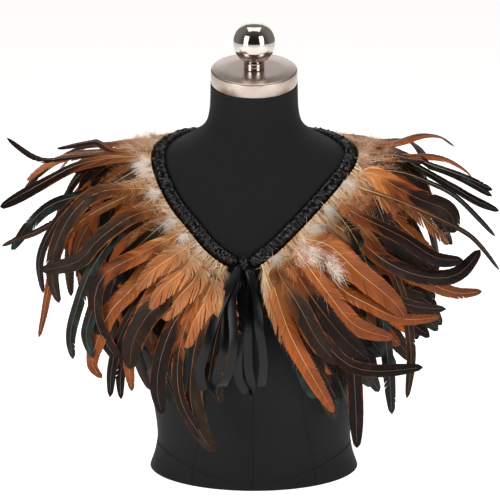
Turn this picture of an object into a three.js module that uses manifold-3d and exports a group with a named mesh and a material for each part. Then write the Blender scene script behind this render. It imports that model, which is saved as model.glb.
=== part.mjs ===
// A cape of cock feathers in three sewn rows under a gathered satin neckband, tied with a ribbon bow,
// on a black dress form with a steel neck cap and a ball on top.
// Millimetres, +Z up, the front faces -Y. The origin is the middle of the dress form's flat underside.

import * as THREE from "three";
import { mergeVertices } from "three/addons/utils/BufferGeometryUtils.js";
import Module from "manifold-3d";

const wasm = await Module();
wasm.setup();

const V = (x, y, z) => new THREE.Vector3(x, y, z);
const DEG = Math.PI / 180;
const UP = V(0, 0, 1);

// The dress form by level sections: height, half width, place of the widest line, and depth before it and
// behind it.
const FORM_SECTIONS = [
  { z: 0, half: 134, mid: 0, front: 90, back: 76 },
  { z: 22, half: 127, mid: 0, front: 85, back: 70 },
  { z: 43, half: 124, mid: 0, front: 84, back: 67 },
  { z: 75, half: 127, mid: 0, front: 86, back: 69 },
  { z: 105, half: 133, mid: 0, front: 90, back: 72 },
  { z: 150, half: 144, mid: 0, front: 103, back: 78 },
  { z: 185, half: 152, mid: 0, front: 116, back: 84 },
  { z: 212, half: 156, mid: 0, front: 121, back: 88 },
  { z: 240, half: 159, mid: 0, front: 117, back: 92 },
  { z: 265, half: 162, mid: 0, front: 110, back: 95 },
  { z: 297, half: 167, mid: 1, front: 102, back: 98 },
  { z: 325, half: 173, mid: 3, front: 97, back: 99 },
  { z: 350, half: 178, mid: 6, front: 92, back: 97 },
  { z: 372, half: 180, mid: 9, front: 87, back: 93 },
  { z: 388, half: 171, mid: 11, front: 82, back: 87 },
  { z: 400, half: 152, mid: 12, front: 77, back: 81 },
  { z: 410, half: 128, mid: 12, front: 72, back: 77 },
  { z: 418, half: 109, mid: 12, front: 69, back: 73 },
  { z: 426, half: 91, mid: 12, front: 66, back: 69 },
  { z: 434, half: 75, mid: 12, front: 63, back: 65 },
  { z: 443, half: 62, mid: 11, front: 60, back: 61 },
  { z: 452, half: 57, mid: 9, front: 57, back: 57 },
  { z: 470, half: 54, mid: 5, front: 54, back: 54 },
  { z: 497, half: 53, mid: 0, front: 53, back: 53 },
];
const FORM_SIDES = 40;
const NECK_BASE_Z = 443;
const NECK_TOP_Z = 497;
const CAP_TILT = 13.7 * DEG; // the top of the neck slopes down to the front

// The steel cap and the ball on the neck.
const CAP = { radius: 52.5, thick: 18, bevel: 2.5, sides: 36 };
const COLLAR = { radius: 12.5, height: 9 };
const BALL = { radius: 25.4, foot: 10.5, sides: 22, rings: 10 };
const SEAM_GAP = 0.3;

// The middle line of the neckband, from its left end at the front, over the left shoulder, round the back
// and down to its right end. Left is the side of -X.
const NECKLINE = [
  { x: -20, y: -103, z: 299 },
  { x: -33, y: -101, z: 303 },
  { x: -52, y: -95, z: 317 },
  { x: -73, y: -84, z: 340 },
  { x: -91, y: -73, z: 360 },
  { x: -105, y: -60, z: 382 },
  { x: -114, y: -38, z: 402 },
  { x: -114, y: -8, z: 416 },
  { x: -99, y: 26, z: 421 },
  { x: -70, y: 60, z: 419 },
  { x: -36, y: 81, z: 417 },
  { x: 0, y: 88, z: 416 },
  { x: 36, y: 81, z: 417 },
  { x: 70, y: 60, z: 419 },
  { x: 100, y: 26, z: 421 },
  { x: 117, y: -8, z: 415 },
  { x: 113, y: -38, z: 403 },
  { x: 95, y: -62, z: 386 },
  { x: 78, y: -74, z: 369 },
  { x: 56, y: -85, z: 347 },
  { x: 27, y: -98, z: 320 },
  { x: 6, y: -103, z: 304 },
  { x: -5, y: -104, z: 298 },
];
const NECKLINE_STEPS = 320;

// The gathered satin neckband, 17 mm wide, with a gather about every 9 mm.
const BAND = { halfWidth: 8.5, bottom: 0.6, height: 7.2, gathers: 82, puff: 1.3, ringsPerGather: 2 };

// The three feather rows. Each has a header tape that its quills are sewn into, and its feathers lie in
// LAYERS_PER_ROW staggered layers. curl and droop multiply those of the LEAN table, and seed varies the row.
const ROWS = [
  { name: "under", count: 46, length: 225, curl: 0.9, droop: 1.5, seed: 11 },
  { name: "middle", count: 48, length: 200, curl: 1, droop: 1.1, seed: 23 },
  { name: "top", count: 50, length: 168, curl: 1, droop: 0.8, seed: 37 },
];
const FEATHER_WIDTH = 19;

// How each row lies on the one below: its tape's outer edge and underside, the number of its lowest layer,
// the height above the dress form to which that layer rises, and the share of a feather over which all rise.
const STACK = {
  under: { tapeEnd: 21, tapeLow: 0.9, layer: 0, first: 4.2, layersBy: 0.3 },
  middle: { tapeEnd: 17, tapeLow: 3.1, layer: 4, first: 5.8, layersBy: 0.4 },
  top: { tapeEnd: 13, tapeLow: 5.5, layer: 8, first: 7.6, layersBy: 0.55 },
};
const LAYERS_PER_ROW = 3;
const TAPE = { start: 9.3, thick: 1.8, margin: 7, step: 13 };
const QUILL_SINK = 4.5; // how far a quill runs inside its tape
const LIFT = { first: 1.5, layer: 1 }; // degrees off the dress form, and more for each layer
const CLEAR = { firstBy: 0.15, layer: 1.6 }; // the rise to a row's first height, and between two layers
const PATH_STEPS = 16;
const BLADE_STATIONS = [0, 2, 5, 8, 11, 14, 16];
const BLADE_THICK = 1.5;

// Where the rows are cut along the neckline, as shares of its length.
const SECTORS = [
  { name: "front_left", from: 0.012, to: 0.27 },
  { name: "back_left", from: 0.27, to: 0.5 },
  { name: "back_right", from: 0.5, to: 0.735 },
  { name: "front_right", from: 0.735, to: 0.988 },
];

// How the feathers lie along the neckline: yaw turns the quill from straight out, curl is degrees for each mm
// and always the same way round, cup bends them in toward the body, and droop is how fast their weight
// pulls them down.
const LEAN = [
  { at: 0, yaw: 40, length: 0.84, lift: -7, curl: 0.06, droop: 0.003, cup: 0.32 },
  { at: 0.02, yaw: 22, length: 0.86, lift: -6, curl: 0.12, droop: 0.003, cup: 0.3 },
  { at: 0.05, yaw: -8, length: 0.93, lift: -3, curl: 0.26, droop: 0.003, cup: 0.25 },
  { at: 0.1, yaw: -26, length: 0.95, lift: 2, curl: 0.38, droop: 0.003, cup: 0.15 },
  { at: 0.2, yaw: -30, length: 1, lift: 0, curl: 0.36, droop: 0.003, cup: 0.1 },
  { at: 0.26, yaw: -24, length: 1.04, lift: -9, curl: 0.26, droop: 0.0034, cup: 0.08 },
  { at: 0.33, yaw: -16, length: 0.98, lift: -12, curl: 0.2, droop: 0.0066, cup: 0.08 },
  { at: 0.4, yaw: -12, length: 0.95, lift: -12, curl: 0.2, droop: 0.008, cup: 0.08 },
  { at: 0.5, yaw: -10, length: 0.95, lift: -12, curl: 0.16, droop: 0.008, cup: 0.08 },
  { at: 0.6, yaw: -8, length: 0.95, lift: -12, curl: 0.2, droop: 0.008, cup: 0.08 },
  { at: 0.67, yaw: -8, length: 0.98, lift: -12, curl: 0.24, droop: 0.0066, cup: 0.08 },
  { at: 0.74, yaw: -10, length: 1, lift: -11, curl: 0.26, droop: 0.004, cup: 0.08 },
  { at: 0.8, yaw: -6, length: 0.98, lift: 1, curl: 0.28, droop: 0.003, cup: 0.08 },
  { at: 0.9, yaw: -8, length: 0.92, lift: 2, curl: 0.22, droop: 0.003, cup: 0.12 },
  { at: 0.96, yaw: -12, length: 0.95, lift: -3, curl: 0.14, droop: 0.003, cup: 0.22 },
  { at: 1, yaw: -14, length: 0.98, lift: -5, curl: 0.08, droop: 0.003, cup: 0.3 },
];

// Stray feathers that stand out of the top row: their place along the neckline, their width, and the
// points that they pass through after the tape, with the tip last.
const stray = (at, width, ...via) => ({ at, width, via });
const STRAYS = [
  stray(0.03, 13, V(-68, -150, 266), V(-88, -153, 205), V(-86, -150, 139), V(-50, -134, 69)),
  stray(0.05, 20, V(-63, -144, 274), V(-90, -150, 244), V(-108, -151, 200), V(-110, -146, 123)),
  stray(0.06, 26, V(-96, -148, 275), V(-124, -152, 248), V(-142, -154, 216), V(-146, -154, 182)),
  stray(0.1, 18, V(-131, -140, 319), V(-179, -145, 289), V(-184, -140, 231), V(-150, -135, 170)),
  stray(0.11, 20, V(-139, -138, 280), V(-169, -138, 247), V(-189, -138, 200), V(-181, -138, 166)),
  stray(0.17, 15, V(-145, -125, 359), V(-183, -130, 331), V(-202, -120, 307), V(-254, -100, 288)),
  stray(0.185, 18, V(-178, -128, 390), V(-212, -128, 363), V(-234, -127, 305), V(-230, -127, 255)),
  stray(0.225, 19, V(-183, -80, 381), V(-239, -75, 363), V(-273, -60, 332), V(-295, -55, 301)),
  stray(0.245, 20, V(-172, -55, 414), V(-213, -60, 406), V(-254, -55, 384), V(-308, -45, 352)),
  stray(0.265, 10, V(-175, -30, 416), V(-218, -30, 411), V(-261, -25, 407), V(-300, -20, 432)),
  stray(0.738, 13, V(166, -25, 412), V(197, -32, 406), V(250, -24, 387), V(293, -14, 366)),
  stray(0.752, 13, V(177, -30, 407), V(239, -30, 375), V(270, -25, 356), V(301, -20, 341)),
  stray(0.775, 28, V(139, -55, 396), V(190, -72, 371), V(232, -74, 353), V(241, -70, 326)),
  stray(0.79, 6, V(173, -90, 369), V(242, -90, 337), V(269, -80, 315), V(296, -70, 280)),
  stray(0.82, 20, V(114, -124, 365), V(144, -130, 351), V(190, -132, 327), V(244, -128, 308)),
  stray(0.83, 18, V(135, -130, 321), V(186, -132, 292), V(236, -125, 288), V(265, -120, 318)),
  stray(0.86, 17, V(159, -125, 303), V(209, -118, 276), V(241, -110, 262), V(271, -105, 263)),
  stray(0.9, 18, V(82, -130, 301), V(108, -138, 243), V(118, -138, 168), V(124, -136, 76)),
  stray(0.91, 26, V(88, -142, 329), V(120, -150, 300), V(160, -150, 266), V(177, -146, 243)),
  stray(0.93, 22, V(59, -142, 309), V(88, -152, 271), V(119, -154, 235), V(163, -148, 219)),
  stray(0.945, 15, V(51, -152, 261), V(97, -160, 200), V(136, -160, 182), V(198, -152, 184)),
  stray(0.965, 24, V(30, -142, 293), V(53, -152, 259), V(79, -156, 213), V(107, -152, 178)),
  stray(0.98, 18, V(39, -154, 232), V(66, -162, 180), V(94, -156, 129)),
];
const STRAY_LAYER = 11;

// How much the lean and the curl wander along the neckline, in degrees and as a share.
const WAVE = { yaw: 0.7, curl: 0.03 };

// The bow of satin ribbon at the point of the neckline: a knot, two hanging loops and two tails.
// x and z are on the front of the dress form, and clear is the distance in front of it. from and to are the
// ways out of the knot's middle at which a ribbon starts and ends.
const KNOT = { x: -12.5, z: 298, clear: 8.2, across: 7.1, deep: 5.6, tall: 8.4, gap: 0.9 };
const RIBBON_THICK = 1;
const RIBBONS = [
  {
    name: "bow_loop_left",
    width: 11,
    from: V(-0.55, -0.55, -0.65),
    points: [
      { x: -26, z: 264, clear: 31 },
      { x: -24, z: 222, clear: 40 },
      { x: -30, z: 180, clear: 47 },
      { x: -41, z: 160, clear: 49 },
      { x: -44, z: 172, clear: 43 },
      { x: -36, z: 205, clear: 36 },
      { x: -31, z: 250, clear: 25 },
    ],
    to: V(-0.7, -0.4, -0.65),
  },
  {
    name: "bow_loop_right",
    width: 9,
    from: V(0.15, 0.1, -1),
    points: [
      { x: -13, z: 250, clear: 10 },
      { x: -18, z: 205, clear: 11 },
      { x: -19, z: 160, clear: 12 },
      { x: -9, z: 138, clear: 12.5 },
      { x: -3, z: 146, clear: 9 },
      { x: -7, z: 175, clear: 6 },
      { x: -8, z: 225, clear: 4.5 },
    ],
    to: V(0.35, 0.5, -0.9),
  },
  {
    name: "bow_tail_left",
    width: 9,
    from: V(-0.8, -0.8, -0.1),
    points: [
      { x: -38, z: 262, clear: 38 },
      { x: -53, z: 222, clear: 50 },
      { x: -63, z: 185, clear: 58 },
      { x: -60, z: 158, clear: 64 },
    ],
  },
  {
    name: "bow_tail_right",
    width: 11,
    from: V(0.7, -0.6, -0.5),
    points: [
      { x: 3, z: 262, clear: 17 },
      { x: 6, z: 225, clear: 17 },
      { x: 11, z: 185, clear: 17 },
      { x: 9, z: 148, clear: 16 },
    ],
  },
];
const RIBBON_STEPS_PER_SPAN = 3;

const MATERIALS = {
  formCloth: { color: "#1f1d20", roughness: 0.85, metalness: 0 },
  brushedSteel: { color: "#b3aba6", roughness: 0.35, metalness: 1 },
  chrome: { color: "#cfccc8", roughness: 0.1, metalness: 1 },
  satin: { color: "#111114", roughness: 0.45, metalness: 0 },
  underFeathers: { color: "#26221d", roughness: 0.55, metalness: 0 },
  middleFeathers: { color: "#5b3820", roughness: 0.6, metalness: 0 },
  topFeathers: { color: "#b06a35", roughness: 0.65, metalness: 0 },
};

// Smooth interpolation of a table's column, without overshoot.
function smoothAt(rows, key, column, at) {
  const last = rows.length - 1;
  const value = Math.min(Math.max(at, rows[0][key]), rows[last][key]);
  let i = 0;
  while (i < last - 1 && rows[i + 1][key] < value) i++;
  const step = (j) => rows[j + 1][key] - rows[j][key];
  const rise = (j) => (rows[j + 1][column] - rows[j][column]) / step(j);
  const slope = (j) => {
    if (j === 0) return rise(0);
    if (j === last) return rise(last - 1);
    const before = rise(j - 1);
    const after = rise(j);
    return before * after <= 0 ? 0 : (2 * before * after) / (before + after);
  };
  const h = step(i);
  const t = (value - rows[i][key]) / h;
  const a = rows[i][column];
  const b = rows[i + 1][column];
  const bent = t * t * (3 - 2 * t);
  return a + (b - a) * bent + h * (slope(i) * t * (1 - t) ** 2 - slope(i + 1) * t * t * (1 - t));
}

// How far out a point is, as a share of the dress form's section at its height: 1 is on the surface.
function formShare(p) {
  const at = (column) => smoothAt(FORM_SECTIONS, "z", column, p.z);
  const depth = p.y - at("mid");
  return Math.hypot(p.x / at("half"), depth / (depth < 0 ? at("front") : at("back")));
}

// The outward direction of the dress form's surface near a point, and the distance to it.
function formSurface(p) {
  const h = 0.5;
  const shareBy = (x, y, z) => formShare(V(p.x + x, p.y + y, p.z + z));
  const along = (x, y, z) => shareBy(x, y, z) - shareBy(-x, -y, -z);
  const slope = V(along(h, 0, 0), along(0, h, 0), along(0, 0, h)).divideScalar(2 * h);
  const steep = Math.max(slope.length(), 0.004);
  return { normal: slope.clone().normalize(), distance: (formShare(p) - 1) / steep };
}

// Moves a point to a height above the dress form; with onlyOut it moves only if it is too low.
function setAbove(p, height, onlyOut = false) {
  for (let i = 0; i < 4; i++) {
    const s = formSurface(p);
    if (onlyOut && s.distance >= height) return p;
    p.addScaledVector(s.normal, height - s.distance);
  }
  return p;
}

// The point at a distance in front of the dress form at x and z.
function onFront({ x, z, clear }) {
  const at = (column) => smoothAt(FORM_SECTIONS, "z", column, z);
  return V(x, at("mid") - at("front") * Math.sqrt(1 - (x / at("half")) ** 2) - clear, z);
}

// A point on the smooth curve through a list of points, at a share of its length in spans.
function curvePoint(points, share) {
  const spans = points.length - 1;
  const i = Math.min(Math.floor(share * spans), spans - 1);
  const t = share * spans - i;
  const p = (j) => points[Math.min(Math.max(j, 0), spans)];
  const [a, b, c, d] = [p(i - 1), p(i), p(i + 1), p(i + 2)];
  const one = (k) => {
    const square = 2 * a[k] - 5 * b[k] + 4 * c[k] - d[k];
    const cube = 3 * b[k] - a[k] - 3 * c[k] + d[k];
    return 0.5 * (2 * b[k] + (c[k] - a[k]) * t + square * t * t + cube * t ** 3);
  };
  return V(one("x"), one("y"), one("z"));
}

// The neckline on the dress form, as points evenly spaced along its length.
const neckline = (() => {
  const rough = [];
  for (let i = 0; i <= NECKLINE_STEPS; i++) rough.push(setAbove(curvePoint(NECKLINE, i / NECKLINE_STEPS), 0));
  const run = [0];
  for (let i = 1; i < rough.length; i++) run.push(run[i - 1] + rough[i].distanceTo(rough[i - 1]));
  const total = run[run.length - 1];
  const even = [];
  for (let i = 0, j = 0; i <= NECKLINE_STEPS; i++) {
    const want = (total * i) / NECKLINE_STEPS;
    while (j < rough.length - 2 && run[j + 1] < want) j++;
    even.push(rough[j].clone().lerp(rough[j + 1], (want - run[j]) / (run[j + 1] - run[j])));
  }
  return { points: even, length: total };
})();

// The neckline's place, its direction, the surface's normal and the way out from the neck, at a share of
// its length.
function neckFrame(share) {
  const at = Math.min(Math.max(share, 0), 1) * NECKLINE_STEPS;
  const i = Math.min(Math.floor(at), NECKLINE_STEPS - 1);
  const p = neckline.points[i].clone().lerp(neckline.points[i + 1], at - i);
  const reach = 4;
  const before = neckline.points[Math.max(i - reach, 0)];
  const after = neckline.points[Math.min(i + 1 + reach, NECKLINE_STEPS)];
  const along = after.clone().sub(before).normalize();
  const { normal } = formSurface(p);
  const out = along.clone().cross(normal).normalize();
  const neckMiddle = V(0, 12, 470);
  if (out.dot(p.clone().sub(neckMiddle)) < 0) out.negate();
  return { p, along, normal, out };
}

// The point at a distance out from the neckline and a height above the dress form.
function besideNeck(frame, out, height) {
  const p = frame.p.clone().addScaledVector(frame.out, out).addScaledVector(frame.normal, height);
  return setAbove(p, height);
}

// A steady number from 0 to 1 for each pair of whole numbers.
function chance(i, k) {
  const x = Math.sin(i * 127.1 + k * 311.7) * 43758.5453;
  return x - Math.floor(x);
}

// A closed body through rings of points, with flat ends.
function loft(rings) {
  const n = rings[0].length;
  const points = rings.flat();
  const faces = [];
  for (let r = 0; r + 1 < rings.length; r++) {
    for (let k = 0; k < n; k++) {
      const a = r * n + k;
      const b = r * n + ((k + 1) % n);
      faces.push([a, b, b + n], [a, b + n, a + n]);
    }
  }
  const end = (rings.length - 1) * n;
  for (let k = 1; k + 1 < n; k++) faces.push([0, k + 1, k], [end, end + k, end + k + 1]);
  const volume = faces.reduce((sum, [a, b, c]) => sum + points[a].dot(points[b].clone().cross(points[c])), 0);
  const index = faces.flatMap(([a, b, c]) => (volume < 0 ? [a, c, b] : [a, b, c]));
  const geometry = new THREE.BufferGeometry().setFromPoints(points);
  geometry.setIndex(index);
  return geometry;
}

function toSolid(geometry) {
  const bare = new THREE.BufferGeometry().setAttribute("position", geometry.getAttribute("position"));
  bare.setIndex(geometry.getIndex());
  const merged = mergeVertices(bare, 1e-4);
  return new wasm.Manifold(
    new wasm.Mesh({
      numProp: 3,
      vertProperties: merged.attributes.position.array,
      triVerts: new Uint32Array(merged.index.array),
    }),
  );
}

function toGeometry(solid) {
  const mesh = solid.getMesh();
  const geometry = new THREE.BufferGeometry();
  geometry.setAttribute("position", new THREE.BufferAttribute(new Float32Array(mesh.vertProperties), 3));
  geometry.setIndex(new THREE.BufferAttribute(new Uint32Array(mesh.triVerts), 1));
  return geometry;
}

const cape = new THREE.Group();

function addNode(parent, name, geometry, finish) {
  geometry.computeVertexNormals();
  const mesh = new THREE.Mesh(geometry, new THREE.MeshStandardMaterial(MATERIALS[finish]));
  mesh.name = name;
  parent.add(mesh);
  return mesh;
}

// The dress form: a level ring for each section up to the neck, whose rings tilt forward up to the cap.
function makeForm() {
  const rings = [];
  for (const { z, half, mid, front, back } of FORM_SECTIONS) {
    const tilt = Math.max(0, (z - NECK_BASE_Z) / (NECK_TOP_Z - NECK_BASE_Z)) * CAP_TILT;
    const ring = [];
    for (let k = 0; k < FORM_SIDES; k++) {
      const turn = (2 * Math.PI * k) / FORM_SIDES;
      const depth = Math.sin(turn) * (Math.sin(turn) < 0 ? front : back);
      ring.push(V(half * Math.cos(turn), mid + depth, z + depth * Math.tan(tilt)));
    }
    rings.push(ring);
  }
  addNode(cape, "dress_form", loft(rings), "formCloth");
}

// A turned body standing on the tilted top of the neck, from a profile of radius and height.
function makeTurned(parent, name, profile, sides, finish) {
  const geometry = new THREE.LatheGeometry(profile.map(([r, h]) => new THREE.Vector2(r, h)), sides);
  geometry.rotateX(Math.PI / 2);
  geometry.deleteAttribute("uv");
  geometry.deleteAttribute("normal");
  addNode(parent, name, toGeometry(toSolid(geometry)), finish);
}

function makeNeckTop() {
  const top = new THREE.Group();
  top.position.set(0, 0, NECK_TOP_Z);
  top.rotation.x = CAP_TILT;
  cape.add(top);
  const low = SEAM_GAP;
  const high = low + CAP.thick;
  makeTurned(
    top,
    "neck_cap",
    [
      [0, low],
      [CAP.radius, low],
      [CAP.radius, high - CAP.bevel],
      [CAP.radius - 0.3 * CAP.bevel, high - 0.3 * CAP.bevel],
      [CAP.radius - CAP.bevel, high],
      [0, high],
    ],
    CAP.sides,
    "brushedSteel",
  );
  const collarLow = high + SEAM_GAP;
  const collarHigh = collarLow + COLLAR.height;
  makeTurned(
    top,
    "ball_collar",
    [
      [0, collarLow],
      [COLLAR.radius, collarLow],
      [COLLAR.radius, collarHigh],
      [0, collarHigh],
    ],
    CAP.sides / 2,
    "chrome",
  );
  const ballLow = collarHigh + SEAM_GAP;
  const middle = ballLow + Math.sqrt(BALL.radius ** 2 - BALL.foot ** 2);
  const start = -Math.acos(BALL.foot / BALL.radius);
  const profile = [[0, ballLow]];
  for (let i = 0; i < BALL.rings; i++) {
    const turn = start + ((Math.PI / 2 - start) * i) / BALL.rings;
    profile.push([BALL.radius * Math.cos(turn), middle + BALL.radius * Math.sin(turn)]);
  }
  profile.push([0, middle + BALL.radius]);
  makeTurned(top, "ball", profile, BALL.sides, "chrome");
}

// The neckband as left and right halves that meet at the back, its satin drawn up into gathers.
function makeBand(name, from, to) {
  const rings = [];
  const count = Math.round(BAND.gathers * BAND.ringsPerGather * (to - from));
  const gap = SEAM_GAP / 2 / neckline.length;
  for (let i = 0; i <= count; i++) {
    const share = from + gap + ((to - from - 2 * gap) * i) / count;
    const frame = neckFrame(share);
    const phase = 2 * Math.PI * share * BAND.gathers;
    const swell = Math.cos(phase + 1.4 * Math.sin(phase * 0.37));
    const endTaper = Math.min(1, 0.62 + 24 * Math.min(share, 1 - share));
    const half = BAND.halfWidth * endTaper;
    const top = BAND.height * (0.75 + 0.25 * endTaper) + BAND.puff * swell;
    rings.push(
      [
        [-half, BAND.bottom],
        [0, BAND.bottom],
        [half, BAND.bottom],
        [half * 0.85, 0.7 * top],
        [0, top],
        [-half * 0.85, 0.7 * top],
      ].map(([out, height]) => besideNeck(frame, out, height)),
    );
  }
  addNode(cape, name, loft(rings), "satin");
}

// How a feather sits in its row: where its quill starts, its size, and how it leans, curls and droops.
function featherPlan(row, i) {
  const share = SECTORS[0].from + ((SECTORS[3].to - SECTORS[0].from) * (i + 0.5)) / row.count;
  const at = (column) => smoothAt(LEAN, "at", column, share);
  const wave = Math.sin(share * 61 + row.seed) + 0.6 * Math.sin(share * 143 + 2 * row.seed);
  return {
    share,
    layer: row.layer + (i % LAYERS_PER_ROW),
    length: row.length * at("length") * (0.86 + 0.22 * chance(i, row.seed)),
    width: FEATHER_WIDTH * (0.85 + 0.15 * chance(i, row.seed + 1)),
    yaw: at("yaw") + WAVE.yaw * wave,
    lift: at("lift"),
    curl: row.curl * at("curl") * (1 + WAVE.curl * wave),
    droop: row.droop * at("droop"),
    cup: at("cup"),
  };
}

// The height that a feather keeps above the dress form at a share of its length.
function clearAt(row, layer, u) {
  const quill = row.tapeLow + TAPE.thick / 2;
  const first = quill + (row.first - quill) * Math.min(1, u / CLEAR.firstBy);
  return first + CLEAR.layer * layer * Math.min(1, u / row.layersBy);
}

// Turns the face of a feather a little toward the dress form's, and squares it to the feather's way.
function settleFace(face, way, p) {
  const near = formSurface(p);
  if (near.distance < 40) face.addScaledVector(near.normal, 0.15);
  face.addScaledVector(way, -face.dot(way)).normalize();
}

// The line of a feather: it leaves the tape, keeps clear of the dress form, and bends by its curl and its
// weight.
function featherPath(plan, row) {
  const frame = neckFrame(plan.share);
  const quillHeight = row.tapeLow + TAPE.thick / 2;
  const p = besideNeck(frame, row.tapeEnd - QUILL_SINK, quillHeight);
  const lift = (LIFT.first + LIFT.layer * plan.layer + plan.lift) * DEG;
  const face = frame.normal.clone();
  const way = frame.out.clone().applyAxisAngle(face, plan.yaw * DEG);
  way.multiplyScalar(Math.cos(lift)).addScaledVector(face, Math.sin(lift));
  face.addScaledVector(way, -face.dot(way)).normalize();
  const step = plan.length / PATH_STEPS;
  const stations = [];
  for (let i = 0; i <= PATH_STEPS; i++) {
    stations.push({ p: p.clone(), side: way.clone().cross(face).normalize(), face: face.clone() });
    way.applyAxisAngle(face, plan.curl * DEG * step);
    way.addScaledVector(face, -plan.cup * DEG * step).addScaledVector(UP, -plan.droop * step).normalize();
    const before = p.clone();
    p.addScaledVector(way, step);
    setAbove(p, clearAt(row, plan.layer, (i + 1) / PATH_STEPS), true);
    way.copy(p).sub(before).normalize();
    settleFace(face, way, p);
  }
  return stations;
}

// The line of a stray feather, through its own points.
function strayPath(plan, row) {
  const frame = neckFrame(plan.share);
  const quillHeight = row.tapeLow + TAPE.thick / 2;
  const points = [besideNeck(frame, row.tapeEnd - QUILL_SINK, quillHeight)];
  points.push(besideNeck(frame, row.tapeEnd + QUILL_SINK, quillHeight), ...plan.via);
  const places = [];
  for (let i = 0; i <= PATH_STEPS; i++) {
    const u = i / PATH_STEPS;
    places.push(setAbove(curvePoint(points, u), clearAt(row, plan.layer, u), true));
  }
  const face = frame.normal.clone();
  return places.map((p, i) => {
    const way = places[Math.min(i + 1, PATH_STEPS)].clone().sub(places[Math.max(i - 1, 0)]).normalize();
    settleFace(face, way, p);
    return { p, side: way.clone().cross(face).normalize(), face: face.clone() };
  });
}

// The half width of a feather along its length: a bare quill, a long blade, and a rounded tip.
function bladeHalf(plan, u) {
  const quill = 0.9;
  const swell = Math.min(1, Math.max(0, (u - 0.03) / 0.27)) ** 0.8;
  const tip = Math.sqrt(Math.max(0, 1 - Math.max(0, (u - 0.55) / 0.45) ** 2.2));
  return quill + (plan.width / 2 - quill) * swell * tip * (1 - 0.06 * u);
}

function makeFeather(plan, row) {
  const path = plan.via ? strayPath(plan, row) : featherPath(plan, row);
  const rings = BLADE_STATIONS.map((i) => {
    const { p, side, face } = path[i];
    const u = i / PATH_STEPS;
    const half = bladeHalf(plan, u);
    const thick = BLADE_THICK * (1 - 0.55 * u);
    return [
      p.clone().addScaledVector(side, -half).addScaledVector(face, -0.35 * thick),
      p.clone().addScaledVector(side, half).addScaledVector(face, -0.35 * thick),
      p.clone().addScaledVector(face, 0.65 * thick),
    ];
  });
  return loft(rings);
}

// A row's header tape over one sector.
function makeTape(row, from, to) {
  const steps = Math.round(((to - from) * neckline.length) / TAPE.step);
  const gap = SEAM_GAP / neckline.length;
  const rings = [];
  for (let i = 0; i <= steps; i++) {
    const frame = neckFrame(from + gap + ((to - from - 2 * gap) * i) / steps);
    rings.push(
      [
        [TAPE.start, row.tapeLow],
        [row.tapeEnd, row.tapeLow],
        [row.tapeEnd, row.tapeLow + TAPE.thick],
        [TAPE.start, row.tapeLow + TAPE.thick],
      ].map(([out, height]) => besideNeck(frame, out, height)),
    );
  }
  return loft(rings);
}

// One node for each row in each sector: the tape with its feathers fused to it.
function makeRow(row) {
  const plans = [];
  for (let i = 0; i < row.count; i++) plans.push(featherPlan(row, i));
  if (row.name === "top") STRAYS.forEach((one) => plans.push({ share: one.at, layer: STRAY_LAYER, ...one }));
  for (const sector of SECTORS) {
    let solid = toSolid(makeTape(row, sector.from, sector.to));
    const margin = TAPE.margin / 2 / neckline.length;
    const inside = (plan) => plan.share > sector.from - 1e-6 && plan.share < sector.to;
    for (const plan of plans.filter(inside)) {
      plan.share = Math.min(Math.max(plan.share, sector.from + margin), sector.to - margin);
      solid = solid.add(toSolid(makeFeather(plan, row)));
    }
    addNode(cape, "feathers_" + row.name + "_" + sector.name, toGeometry(solid), row.name + "Feathers");
  }
}

// The point just outside the knot in a direction from its middle.
function offKnot(way) {
  const far = way.clone().divide(V(KNOT.across, KNOT.deep, KNOT.tall)).length();
  const reach = 1 / far + KNOT.gap / way.length();
  return onFront(KNOT).addScaledVector(way, reach);
}

function makeRibbon({ name, width, from, points, to }) {
  const line = [offKnot(from), ...points.map(onFront)];
  if (to) line.push(offKnot(to));
  const steps = (line.length - 1) * RIBBON_STEPS_PER_SPAN;
  const rings = [];
  for (let i = 0; i <= steps; i++) {
    const p = curvePoint(line, i / steps);
    const before = curvePoint(line, Math.max(0, (i - 0.5) / steps));
    const after = curvePoint(line, Math.min(1, (i + 0.5) / steps));
    const along = after.sub(before).normalize();
    const side = V(1, 0, 0).addScaledVector(along, -along.x).normalize();
    const face = side.clone().cross(along).normalize();
    const wide = (width / 2) * Math.min(1, 0.4 + 0.3 * Math.min(i, to ? steps - i : i));
    const thick = RIBBON_THICK / 2;
    const corner = (a, b) => p.clone().addScaledVector(side, a * wide).addScaledVector(face, b * thick);
    rings.push([corner(-1, -1), corner(1, -1), corner(1, 1), corner(-1, 1)]);
  }
  addNode(cape, name, loft(rings), "satin");
}

function makeBow() {
  const knot = new THREE.SphereGeometry(1, 12, 8);
  knot.scale(KNOT.across, KNOT.deep, KNOT.tall);
  knot.translate(...onFront(KNOT).toArray());
  knot.deleteAttribute("uv");
  knot.deleteAttribute("normal");
  addNode(cape, "bow_knot", toGeometry(toSolid(knot)), "satin");
  RIBBONS.forEach(makeRibbon);
}

makeForm();
makeNeckTop();
makeBand("neckband_left", 0, 0.5);
makeBand("neckband_right", 0.5, 1);
ROWS.forEach((row) => makeRow({ ...row, ...STACK[row.name] }));
makeBow();

export default cape;
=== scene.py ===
import math

import bpy
import numpy as np
from mathutils import Matrix, Vector


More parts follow.
